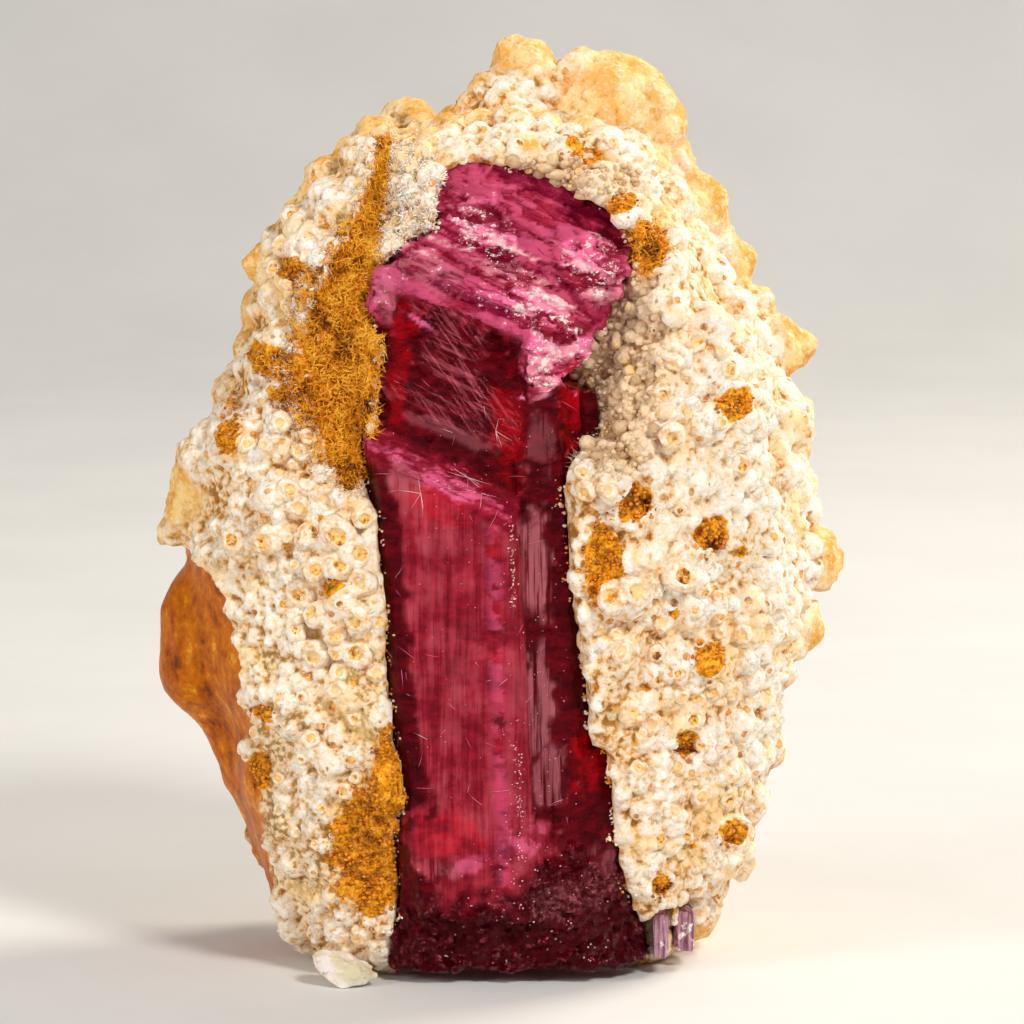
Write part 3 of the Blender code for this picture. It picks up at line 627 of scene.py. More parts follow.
def waxy_share(skin):
    """1 on the bare waxy layer of the left flank."""
    edge = np.interp(skin.z, *np.array(WAXY_EDGE).T)
    wander = skin.noise(1.6) * 0.5 + skin.noise(0.5) * 0.2
    reach = skin.x + np.maximum(0.0, skin.y - 3.0) * 0.9
    return 1 - smooth_step(-0.2, 0.2, reach - edge + wander)


def scatter(skin, rng, radius_at):
    """(place, radius) of balls spread over the skin. radius_at gives 0 where none belongs."""
    order = list(range(len(skin.points)))
    rng.shuffle(order)
    taken, found = {}, []
    for index in order:
        radius = radius_at(index)
        if radius <= 0:
            continue
        place = Vector(skin.places[index])
        key = tuple(math.floor(c) for c in place)
        clash = any(
            (place - other).length < CROWDING * (radius + size)
            for i in (-1, 0, 1) for j in (-1, 0, 1) for k in (-1, 0, 1)
            for other, size in taken.get((key[0] + i, key[1] + j, key[2] + k), ())
        )
        if not clash:
            taken.setdefault(key, []).append((place, radius))
            found.append((place, radius))
    return found


def dome_field(skin, balls):
    """(height as a share of the radius, radius) of the tallest ball's dome at each point."""
    tree = KDTree(len(balls))
    for index, (place, _) in enumerate(balls):
        tree.insert(place, index)
    tree.balance()
    heights, radii = np.zeros(len(skin.places)), np.zeros(len(skin.places))
    for number, place in enumerate(skin.places):
        for _, index, away in tree.find_n(place, 4):
            radius = balls[index][1]
            if away < radius:
                rise = math.sqrt(1 - (away / radius) ** 2)
                if rise * radius > heights[number] * radii[number]:
                    heights[number], radii[number] = rise, radius
    return heights, radii


def grow_domes(skin, rng, radii, bare, smallest):
    """The dome field of balls on all but the bare points, with radii from the smallest share up."""
    balls = scatter(skin, rng, lambda i: 0.0 if bare[i] else radii[i] * rng.uniform(smallest, 1.3))
    return dome_field(skin, balls)


def grain_radius(skin):
    """Radius of the crust's grains at each point."""
    draw = 0.5 + 0.8 * skin.noise(2.3, shift=7.0)
    front_left = (skin.x < -3.0) & (skin.z < 19) & (skin.normals[:, 1] < -0.1)
    return np.where(front_left, 0.18 + 0.12 * draw, 0.20 + 0.24 * draw)


def knob_radius(skin):
    """Radius of the crust's knobs at each point, larger on the back."""
    draw = 0.5 + 0.8 * skin.noise(3.1, shift=2.0)
    return np.where(skin.normals[:, 1] > -0.1, 0.8 + 0.8 * draw, 0.45 + 0.65 * draw)


@functools.lru_cache(maxsize=1)
def cup_places():
    """(X, Z, radius) of every cup, the named ones and those that crowd round them."""
    rng = random.Random(7)
    crust, crystal = tree_of(CRUST), tree_of(CRYSTAL)
    cups = list(NAMED_CUPS)
    for *oval, count, small, large in CUP_BEDS:
        for _ in range(count * 5):
            x, z = random_place(rng, oval)
            radius = small + (large - small) * rng.random() ** 1.5
            point, normal = on_front(crust, x, z)
            if count <= 0 or point is None or normal.y > -0.3 or channel_share(x, z) > -0.1:
                continue
            if ochre_share(x, z, OCHRE_PATCHES) > 0.3:
                continue
            if crystal.find_nearest(point)[3] < (radius + 0.35) * MM:
                continue
            if any(math.hypot(x - cx, z - cz) < (radius + size) * 1.05 for cx, cz, size in cups):
                continue
            cups.append((x, z, radius))
            count -= 1
    return cups


def feature_relief(skin):
    """(height, how ochre, how dark) of the named craters and knobs, and of the knob under each cup."""
    height, ochre, pit = np.zeros((3, len(skin.x)))
    wander, speckle = 1 + 0.4 * skin.noise(0.8, shift=4.0), skin.noise(0.35, shift=1.0)
    features = FRONT_FEATURES + [(x, z, radius * 1.5, radius * 0.5) for x, z, radius in cup_places()]
    for x, z, radius, rise in features:
        away = np.hypot(skin.x - x, skin.z - z) / radius * wander
        if rise > 0:
            height = np.maximum(height, rise * np.maximum(0.0, 1 - away * away) ** 0.7)
        else:
            rim = 0.28 * np.exp(-((away - 0.95) / 0.22) ** 2)
            height += rim + rise * np.exp(-((away / 0.7) ** 4))
            ochre = np.maximum(ochre, 1 - smooth_step(0.65, 0.9, away))
            pit = np.maximum(pit, 1 - smooth_step(0.15, 0.55, away + 0.5 * speckle))
    return height, ochre, pit


def shape_crust(settings):
    """The crust with its grains, knobs, craters and channel, and the masks that its material reads."""
    mesh = fine_copy(CRUST, settings.grain, settings.softening)
    bm = bmesh.new()
    bm.from_mesh(mesh)
    fine = [e for e in bm.edges if max(v.normal.y for v in e.verts) < -0.35]
    bmesh.ops.subdivide_edges(bm, edges=fine, cuts=1, use_grid_fill=True)
    bmesh.ops.triangulate(bm, faces=[f for f in bm.faces if len(f.verts) > 4])
    bm.to_mesh(mesh)
    bm.free()

    skin = Skin(mesh)
    rng = random.Random(settings.seed)
    x, z = skin.x, skin.z
    facing = smooth_step(0.05, 0.5, -skin.normals[:, 1])
    waxy = waxy_share(skin)
    ragged = channel_share(x, z) + 0.35 * skin.noise(0.9) + 0.25 * skin.noise(0.35)
    channel = smooth_step(-0.05, 0.4, ragged) * facing
    patch = smooth_step(0.35, 0.6, ochre_share(x, z, OCHRE_PATCHES) + 0.45 * skin.noise(0.7)) * facing
    # Painted shade: the slope right of the crystal's head and the strip under the top rim face away from
    # the light, and the material colours them grey-brown.
    slope = np.maximum(inside_oval(x, z, GREY_SLOPE, 0.3), 0.8 * inside_oval(x, z, UNDER_RIM, 0.4))
    slope = slope * facing

    warm = np.zeros(len(x))
    for wx, wy, wz, radius in WARM_KNOBS:
        away = np.linalg.norm(skin.places - np.array((wx, wy, wz)), axis=1) / radius
        warm = np.maximum(warm, 1 - smooth_step(0.5, 1.0, away))

    bare = (waxy > 0.5) | (channel > 0.7)
    grain, grain_size = grow_domes(skin, rng, grain_radius(skin), bare, 0.7)
    bald = bare | (skin.noise(2.6, shift=12.0) < -0.12)
    knob, knob_size = grow_domes(skin, rng, knob_radius(skin), bald, 0.6)

    named, ochre, pit = feature_relief(skin)
    plain = 1 - np.maximum(waxy, 0.8 * channel)
    height = (GRAIN_RISE * grain * grain_size + KNOB_RISE * knob * knob_size - BODY_SINK) * plain
    height += named * facing * plain
    height += (0.10 * skin.noise(0.33, 2) + 0.04 * skin.noise(0.15)) * (1 - 0.8 * waxy)
    height += waxy * (0.25 * skin.noise(3.5) - WAXY_DEPTH) - CHANNEL_DEPTH * channel
    height += patch * 0.15 * skin.noise(0.3, shift=3.0)
    height *= smooth_step(0.05, 1.0, z) * (1 - 0.6 * warm)

    gap, steps = skin.gap_to(tree_of(CRYSTAL), GAP_REACH)
    closing = (1 - smooth_step(0.35, 0.75, gap)) * np.clip(0.75 + 0.4 * skin.noise(0.4), 0.3, 0.95)
    skin.move(height * smooth_step(0.3, 1.1, gap), steps * closing[:, None])

    # Painted light: the material makes the crust lighter towards the upper right and on faces toward the
    # front, where the light falls.
    bright = smooth_step(4.0, 13.0, x + 0.25 * (z - 20)) * 0.5 + 0.2 * facing
    behind = skin.normals[:, 1] > -0.1
    warm = np.maximum(warm, behind * smooth_step(0.1, 0.6, skin.noise(4.2) + 0.6 * knob))
    # Painted light and shade: the material lightens the crust on the tops of the grains, knobs and named
    # knobs, and darkens the hollows between them.
    tops = 0.5 * grain + 0.4 * knob + 0.5 * np.clip(named, -0.5, 0.4)
    skin.keep(
        ochre=np.maximum.reduce([ochre * facing, channel, patch]), waxy=waxy, warm=warm, slope=slope,
        crown=tops, pit=pit * facing, gap=gap / GAP_REACH, bright=bright,
        olive=0.4 * inside_oval(x, z, OLIVE_REGION, 0.5),
    )
    mesh.shade_smooth()
    return mesh


def crust_material(colours):
    t = Tree("crust")
    crown, waxy, bright, olive, warm, slope_shade, ochre, pit = t.surfaces(
        "crown waxy bright olive warm slope ochre pit"
    )
    grit, fine = t.noise(4.0, 3.0, 0.65), t.noise(10.0, 2.0, 0.6)
    beads, tiny = t.cells(2.3), t.cells(5.5)
    # The golden ochre of spots and stains runs darker between the beads: painted shade there.
    golden = t.tones(
        grit * 0.9 + fine * 0.4 - beads * 0.3 + t.noise(0.8, 2.0) * 0.5, (0.42, colours.pit),
        (0.58, colours.ochre_dark), (0.78, colours.ochre), (1.0, colours.needle_tip),
    )

    # Painted light and shade: the crust runs from rust and peach in the hollows and between the beads up
    # to white and glare on the tops of the bumps, lighter again towards the upper right and on front
    # faces.
    top = crown * 0.9 + grit * 0.75 - beads * 0.50 - tiny * 0.25 + bright * 0.3 + 0.05
    top = top + (t.noise(0.45, 2.0) - 0.5) * 0.5
    plain = t.tones(
        top, (0.10, colours.rust_and_shade), (0.26, colours.peach), (0.42, colours.cream), (0.66, colours.white),
        (0.95, colours.glare),
    )
    # Painted shade: olive-brown laid in the low places between the bumps, thin over most of the crust
    # and strong in the olive region of the lower left, whose own colour is greenish.
    shade_and_tint = t.ramp(top + (grit - 0.5) * 1.4, 0.34, 0.14)
    pepper = t.ramp(t.noise(4.5, 5.0, 0.75) + (t.noise(0.55, 2.0) - 0.5) * 0.6, 0.55, 0.68)
    spots = t.ramp(t.cells(0.85) + (fine - 0.5) * 0.1, 0.20, 0.15)
    patches = t.ramp(t.noise(0.32, 3.0, 0.6) + (grit - 0.5) * 0.3, 0.53, 0.64)
    clouds = t.ramp(t.noise(0.6, 3.0) + (grit - 0.5) * 0.3, 0.38, 0.60)
    stained = ochre + (fine - 0.5) * 0.5 + (t.noise(1.1, 3.0, 0.7) - 0.5) * 1.3
    smears = t.noise(0.5, 4.0, 0.65, stretch=(1.6, 1.0, 0.6)) + (t.noise(1.8, 4.0, 0.7) - 0.5) * 0.7
    wax = t.tones(
        smears, (0.24, colours.pit), (0.42, colours.wax_dark), (0.60, colours.wax),
        (0.84, colours.needle_tip),
    )
    body = t.layers(
        plain,
        (shade_and_tint * (olive + 0.15), colours.hollow),
        (pepper * 0.45, colours.moss),
        (spots * 0.85, golden),
        (patches * 0.6, colours.warm),
        (warm * t.ramp(grit, 0.2, 0.55), t.blend(clouds, colours.warm, colours.cup_floor)),
        # Painted shade: grey-brown on the slope and under the top rim, lighter on the tops there.
        (slope_shade * 0.85, t.blend(t.ramp(top, 0.2, 0.9), colours.slope, colours.slope_top)),
        (t.ramp(stained, 0.25, 0.65), golden),
        (pit * 0.8, colours.pit),
        (waxy, wax),
    )

    relief = (grit * 0.8 - beads * 0.9 - tiny * 0.35 - spots * 0.4) * (1 - waxy * 0.85)
    return t.finish(t.principled(
        Base_Color=body, Roughness=0.75 - waxy * 0.35, Normal=t.bump(relief, 0.8, 0.13),
        Specular_IOR_Level=0.12,
    ))


# --- small growths on the crust -------------------------------------------------------------


def crust_surface():
    """The dressed crust's mesh and a search tree over its faces."""
    mesh = bpy.data.objects["crust"].data
    faces = [tuple(polygon.vertices) for polygon in mesh.polygons]
    return mesh, BVHTree.FromPolygons([vertex.co for vertex in mesh.vertices], faces)


# A cup's ring from its foot outside to its floor, in radii: (out, up).
CUP_PROFILE = [
    (1.5, -0.6), (1.42, -0.1), (1.22, 0.26), (0.96, 0.46), (0.72, 0.45), (0.60, 0.32), (0.50, 0.20),
    (0.3, 0.15),
]
CUP_SIDES = 16
# What lies nearer the middle than this belongs to the floor.
CUP_FLOOR = 0.61


def add_cup(heap, rng, point, normal, radius):
    """A lumpy raised ring round a small hollow. Its mask is 1 in the hollow."""
    across = normal.orthogonal().normalized()
    side = normal.cross(across)
    points, masks = [], []
    twist = random_shift(rng, 50)
    depth, squash = rng.uniform(-0.12, 0.08), rng.uniform(0.8, 1.15)
    for out, up in CUP_PROFILE:
        for i in range(CUP_SIDES):
            angle = math.tau * i / CUP_SIDES
            outward = across * math.cos(angle) * squash + side * math.sin(angle)
            lump = noise.noise(Vector((math.cos(angle), math.sin(angle), out)) * 1.6 + twist)
            reach = out * (1 + 0.22 * lump)
            rise = up * (1 + 0.6 * lump) - (depth if out < CUP_FLOOR else 0.0)
            points.append(point + (outward * reach + normal * rise) * radius)
            masks.append(1.0 if out < CUP_FLOOR else 0.0)
    points += [point + normal * radius * (0.14 - depth), point - normal * radius * 0.6]
    masks += [1.0, 0.0]
    last = (len(CUP_PROFILE) - 1) * CUP_SIDES
    top, bottom = len(points) - 2, len(points) - 1
    faces = []
    for i in range(CUP_SIDES):
        j = (i + 1) % CUP_SIDES
        rows = [(start, start + CUP_SIDES) for start in range(0, last, CUP_SIDES)]
        faces += [(lower + i, lower + j, upper + j, upper + i) for lower, upper in rows]
        faces += [(last + i, last + j, top), (j, i, bottom)]
    heap.add(points, faces, masks)


def grow_cups(seed):
    """Every ring-shaped cup, leaning a little to the front."""
    rng = random.Random(seed)
    _, tree = crust_surface()
    heap = Heap()
    for x, z, radius in cup_places():
        point, normal = on_front(tree, x, z)
        if point is not None:
            leaned = (normal + Vector((0, -0.8, 0.1))).normalized()
            add_cup(heap, rng, point - leaned * radius * 0.05 * MM, leaned, radius * 0.95 * MM)
    return heap.mesh("ring_cups", "hollow")


def cup_material(colours):
    t = Tree("ring_cups")
    grit = t.noise(5.0, 4.0, 0.6)
    # Painted light and shade on the rims: peach where the grit sinks and between the beads, up to white
    # and glare where the grit stands up in the bump.
    shade = grit * 1.2 - t.cells(2.6) * 0.6 + t.noise(0.8, 2.0) * 0.6
    rim = t.tones(
        shade, (0.25, colours.peach), (0.50, colours.cream), (0.68, colours.white), (0.95, colours.glare)
    )
    floor = t.tones(
        grit * 1.1 + (t.noise(0.7, 2.0) - 0.5) * 1.2 + t.noise(2.2, 2.0) * 0.4 - 0.1,
        (0.25, colours.pit), (0.38, colours.ochre_dark), (0.52, colours.cup_floor), (0.68, colours.warm),
        (0.85, colours.cream),
    )
    colour = t.blend(t.ramp(t.surface("hollow"), 0.15, 0.5), rim, floor)
    return t.finish(t.principled(Base_Color=colour, Roughness=0.7, Normal=t.bump(grit, 0.6, 0.08)))


def sample_faces(mesh, rng, count, chance):
    """(point, normal) of faces drawn by how likely chance(x, z, normal y, gap) makes them."""
    faces = len(mesh.polygons)
    centres, normals = read_vectors(mesh.polygons, "center"), read_vectors(mesh.polygons, "normal")
    places = (centres - np.array(AXIS)) / MM
    corner = np.array([polygon.vertices[0] for polygon in mesh.polygons])
    gap = np.empty(len(mesh.vertices), dtype=np.float32)
    mesh.attributes["gap"].data.foreach_get("value", gap)
    weights = chance(places[:, 0], places[:, 2], normals[:, 1], gap[corner] * GAP_REACH)
    weights = np.clip(weights, 0.0, None) * (normals[:, 1] < 0.1)
    picked = rng.choices(range(faces), cum_weights=np.cumsum(weights).tolist(), k=count)
    return [(Vector(centres[i]), Vector(normals[i])) for i in picked]


def leaning(rng, normal, lift):
    """A direction that leans over the surface, rising by up to the lift."""
    flat = random_vector(rng)
    flat -= normal * flat.dot(normal)
    return (flat.normalized() + normal * rng.uniform(0, lift)).normalized()


def grow_needles(settings):
    """The mat of ochre needles in the channel and the patches."""
    rng = random.Random(settings.seed + 1)
    mesh, _ = crust_surface()

    def chance(x, z, normal_y, gap):
        patches = ochre_share(x, z, NEEDLE_PATCHES) * 0.35
        channel = smooth_step(-0.35, 0.15, channel_share(x, z))
        return np.maximum(channel, patches) * (normal_y < -0.05)

    heap = Heap()
    for point, normal in sample_faces(mesh, rng, settings.needles, chance):
        direction = leaning(rng, normal, 1.0)
        length = rng.uniform(0.2, 0.75) * MM
        lift = rng.uniform(0.0, 0.35)
        start = point - direction * length * 0.35 + normal * lift * MM
        # Painted shade and light: needles that start low in the mat are darker and those that stand high
        # are paler, with some spread at random.
        tone = 0.6 * lift / 0.35 + 0.5 * rng.random()
        radius = rng.uniform(0.015, 0.030) * MM
        heap.needle(start, direction, length, radius, tone, random_vector(rng) * 0.6)
    return heap.mesh("ochre_needles", "tone", smooth=False)


def needle_material(colours):
    t = Tree("ochre_needles")
    # The tone makes needles low in the mat dark ochre and high ones pale, as painted shade and light.
    # The noise adds patches that differ at random.
    shade = t.surface("tone") + (t.noise(0.6, 4.0, 0.7) - 0.5) * 3.6
    colour = t.tones(
        shade, (0.0, colours.pit), (0.22, colours.ochre_dark), (0.5, colours.ochre),
        (0.95, colours.needle_tip),
    )
    return t.finish(t.principled(Base_Color=colour, Roughness=0.5, Specular_IOR_Level=0.15))


def grow_frost(settings):
    """Pale grains and spikes: a fringe round the crystal, a frosted corner, and the channel's edges."""
    rng = random.Random(settings.seed + 2)
    (mesh, crust), crystal = crust_surface(), tree_of(CRYSTAL)
    heap = Heap()

    def fringe(x, z, normal_y, gap):
        return (1 - smooth_step(0.1, 0.7, gap)) * (normal_y < -0.02)

    def corner(x, z, normal_y, gap):
        return inside_oval(x, z, FROST_CORNER, 0.35) * (0.3 + 0.7 * (gap < 0.9))

    def edges(x, z, normal_y, gap):
        share = channel_share(x, z)
        golden = inside_oval(x, z, GOLDEN_CORNER, 0.3)
        return np.exp(-(((share + 0.15) / 0.22) ** 2)) + 0.5 * golden * (share < 0.1)

    def grainy(x, z, normal_y, gap):
        return ochre_share(x, z, GRAIN_PATCHES + OCHRE_PATCHES) * (normal_y < -0.05)

    for count, chance, largest, lift, tone in (
        (settings.frost, fringe, 0.13, (-0.06, 0.03), (0.2, 0.8)),
        (settings.golden, grainy, 0.14, (0.0, 0.12), (-0.05, 0.25)),
    ):
        for point, normal in sample_faces(mesh, rng, count, chance):
            grain = pebble(rng, rng.uniform(0.04, largest) * MM)
            heap.set_down(grain, point + normal * rng.uniform(*lift) * MM, rng.uniform(*tone))
    for _ in range(settings.border_tries):
        x, z = rng.uniform(*FACE_X), rng.uniform(*FACE_Z)
        point, normal = on_front(crystal, x, z)
        if point is None:
            continue
        reach = 0.18 + 0.5 * noise.noise((x * 1.3, 0.0, z * 1.3))
        reach += 0.2 * noise.noise((x * 4.0, 9.0, z * 4.0))
        gap = crust.find_nearest(point)[3] / MM
        if gap < reach:
            grain = pebble(rng, (rng.uniform(0.03, 0.12) + 0.12 * (reach - gap)) * MM)
            heap.set_down(grain, point - normal * 0.03 * MM, rng.uniform(0.15, 0.85))
    spikes = ((CORNER_SPIKES, corner, 1.0, 1.7), (EDGE_SPIKES, edges, 0.85, 1.0))
    for count, chance, tone, stout in spikes:
        for point, normal in sample_faces(mesh, rng, count, chance):
            for _ in range(SPIKES_PER_TUFT):
                direction = leaning(rng, normal, 1.6)
                length = rng.uniform(0.12, 0.42) * MM
                radius = rng.uniform(0.03, 0.06) * stout * MM
                heap.needle(point, direction, length, radius, tone * rng.uniform(0.6, 1.0))
    return heap.mesh("frost", "tone")


def frost_material(colours):
    t = Tree("frost")
    tone = t.surface("tone") + (t.noise(1.2, 2.0) - 0.5) * 0.6
    colour = t.tones(
        tone, (0.0, colours.rust_and_shade), (0.18, colours.ochre), (0.34, colours.peach), (0.5, colours.cream),
        (0.8, colours.glare),
    )
    relief = t.bump(t.noise(9.0, 3.0), 0.5, 0.04)
    shader = t.principled(Base_Color=colour, Roughness=0.6, Normal=relief, Specular_IOR_Level=0.2)
    return t.finish(shader)


def grow_balls(settings):
    """Small knobbly balls crowded on the shaded slope and under the top rim, with fine fuzz."""
    rng = random.Random(settings.seed + 3)
    mesh, tree = crust_surface()
    heap, grown = Heap(), []
    # The balls under the top rim take only the darker tones: painted shade under the rim.
    for oval, count, lightest in ((GREY_SLOPE, SLOPE_BALLS, 1.0), (UNDER_RIM, RIM_BALLS, 0.45)):
        for _ in range(count * 3):
            point, _ = on_front(tree, *random_place(rng, oval))
            radius = (0.12 + 0.38 * rng.random() ** 2) * MM
            if point is None or any((point - o).length < (radius + r) * 0.7 for o, r in grown):
                continue
            grown.append((point, radius))
            heap.set_down(pebble(rng, radius, 2), point, rng.random() * lightest)

    def fuzzy(x, z, normal_y, gap):
        upper, lower = (inside_oval(x, z, oval, 0.4) for oval in FUZZ_SPOTS)
        return upper + 0.8 * lower

    for point, normal in sample_faces(mesh, rng, FUZZ_HAIRS, fuzzy):
        direction = leaning(rng, normal, 2.0)
        length, bend = rng.uniform(0.3, 0.9) * MM, random_vector(rng) * 0.9
        heap.needle(point, direction, length, 0.012 * MM, rng.uniform(0.4, 1.0), bend)
    return heap.mesh("grey_balls", "tone")


def ball_material(colours):
    t = Tree("grey_balls")
    grit = t.noise(6.0, 3.0)
    specks = t.ramp(t.noise(0.9, 4.0, 0.7) + (grit - 0.5) * 0.4, 0.64, 0.72)
    # Painted shade: the balls are grey-brown, lighter where the grit stands up, with warm patches and
    # dark specks of their own.
    colour = t.layers(
        colours.slope,
        (t.ramp(t.surface("tone") + grit * 0.5, -0.1, 0.8), colours.slope_top),
        (t.ramp(t.noise(1.4, 3.0), 0.56, 0.66), colours.warm),
        (specks * 0.8, colours.pit),
    )
    relief = t.bump(grit - t.cells(3.0), 0.9, 0.10)
    shader = t.principled(Base_Color=colour, Roughness=0.65, Normal=relief, Specular_IOR_Level=0.2)
    return t.finish(shader)


# --- crystal --------------------------------------------------------------------------------


def crystal_zones(skin):
    """Shares of the crystal's surface by name: plates, ledge, foot, slab, flank."""
    x, z = skin.x, skin.z
    wander = skin.noise(0.8)
    plates = smooth_step(-0.15, 0.25, z - np.interp(x, *np.array(PLATE_EDGE).T) + 0.15 * wander)
    plates = np.maximum(plates, inside_oval(x, z, BUD))
    above = z - np.interp(x, *np.array(LEDGE).T)
    across = 1 - smooth_step(1.3, 1.6, x)
    ledge = smooth_step(-2.1, -1.5, above + 0.5 * wander) * (1 - smooth_step(-0.1, 0.3, above)) * across
    foot = 1 - smooth_step(4.2, 6.4, z + wander * 2.2 - 0.25 * (x - 1))
    seam = 1.45 + (SLAB_TOP - z) * 0.045
    slab = (1 - smooth_step(seam - 0.1, seam + 0.15, x)) * (1 - smooth_step(-1.9, -1.5, above))
    slab = slab * (1 - foot)
    flank = smooth_step(seam, seam + 0.25, x) * (1 - plates) * (1 - foot)
    return plates, ledge, foot, slab, flank


def chips(skin, size, long, tilt, seed):
    """Flat broken chips, longer along the tilt, each with its own height and slope."""
    along, across = turned(skin.x, skin.z, tilt)
    spots = np.stack([along / (size * long), skin.y / size, across / size], axis=1) + seed
    heights = np.empty(len(spots))
    for index, place in enumerate(spots):
        centre = noise.voronoi(place)[1][0]
        draw = noise.cell_vector(centre * 17.3) - Vector((0.5, 0.5, 0.5))
        heights[index] = draw.x + 1.2 * (Vector(place) - centre).dot(Vector((draw.y, 0.0, draw.z)))
    return heights


def crystal_masks(skin, zones):
    """Masks of colour and of texture on the crystal."""
    plates, ledge, foot, slab, flank = zones
    x, z = skin.x, skin.z
    masks = {}
    wander = 1 + 0.55 * skin.noise(0.7, 2) + 0.2 * skin.noise(0.25)
    for name, strokes in CRYSTAL_STROKES.items():
        masks[name] = np.zeros(len(x))
        for stroke_x, stroke_z, long, wide, tilt, strength in strokes:
            along, across = turned(x - stroke_x, z - stroke_z, tilt)
            away = np.hypot(along / long, across / wide) * wander
            masks[name] = np.maximum(masks[name], strength * (1 - smooth_step(0.65, 1.1, away)))
    margin = np.interp(z, *np.array(SLAB_MARGIN).T) + 0.85
    lobes = 0.45 * skin.noise(0.75, shift=5.0) + 0.15 * skin.noise(0.3)
    inner = smooth_step(0.0, 0.25, x - margin + lobes) * slab
    bevel_middle = 0.15 + (SLAB_TOP - z) * 0.03
    bevel = np.exp(-(((x - bevel_middle) / 0.38) ** 2)) * slab * (z < SLAB_TOP + 0.4)
    masks["rose"] = np.maximum(masks["rose"], inner * (0.85 + 0.3 * skin.noise(1.6)) * (1 - 0.7 * bevel))
    # The bevel is lit up in pink and the glow's bright red: painted light along that edge.
    masks["pink"] = np.maximum(masks["pink"], bevel * 0.28)
    masks["glow"] = np.maximum(masks["glow"], bevel * 0.55)
    masks["mauve"] *= 1 - slab * smooth_step(5.0, 8.0, z) * (z < SLAB_TOP)
    masks["mauve"] *= 1 - inside_oval(x, z, DARK_SPOT, 0.5)
    masks["rose"] = np.maximum(masks["rose"], 0.65 * plates + 0.5 * ledge)
    masks["pink"] = np.maximum(masks["pink"], 0.35 * plates)
    masks["foot"] = foot
    masks["grit"] = np.clip(plates + ledge + foot, 0, 1)
    masks["upright"] = np.clip(slab + flank, 0, 1)
    return masks


def shape_crystal(settings):
    """The crystal with its plates, ridges and rough foot, and the masks that its material reads."""
    mesh = fine_copy(CRYSTAL, settings.grain, 1)
    skin = Skin(mesh)
    zones = plates, ledge, foot, slab, flank = crystal_zones(skin)
    front = smooth_step(0.15, 0.5, -skin.normals[:, 1])

    def upright(pitch, shift):
        """A ridged profile that runs down the crystal and drifts right as its prism does."""
        across = skin.x + (skin.z - 25.0) * 0.058
        places = zip(across / pitch, skin.y * 0.3, skin.z * 0.035 + shift)
        return np.array([noise.noise(place) for place in places])

    coarse, narrow = upright(0.40, 1.0), upright(0.14, 5.0)
    height = front * slab * (0.035 * coarse + 0.02 * narrow)
    height += front * flank * (0.10 * coarse + 0.05 * narrow)
    big, small = chips(skin, 0.9, 3.0, -22, 3.0), chips(skin, 0.42, 2.4, -24, 8.0)
    height += plates * (0.42 * big + 0.20 * small)
    height += ledge * (0.14 * chips(skin, 0.35, 4.0, -27, 5.0) + 0.06 * chips(skin, 0.16, 2.0, -27, 1.0))
    height += foot * (0.30 * chips(skin, 0.7, 1.0, 10, 2.0) + 0.14 * chips(skin, 0.3, 1.0, 40, 6.0))
    recess = np.clip(1 - plates - ledge - foot - slab - flank, 0, 1) * front
    height += recess * (0.10 * chips(skin, 0.5, 4.0, -38, 4.0) + 0.05 * chips(skin, 0.22, 5.0, -52, 7.0))
    skin.move(height)
    skin.keep(facets=0.5 + 0.6 * big + 0.5 * small, **crystal_masks(skin, zones))
    return crisp(mesh, 32)


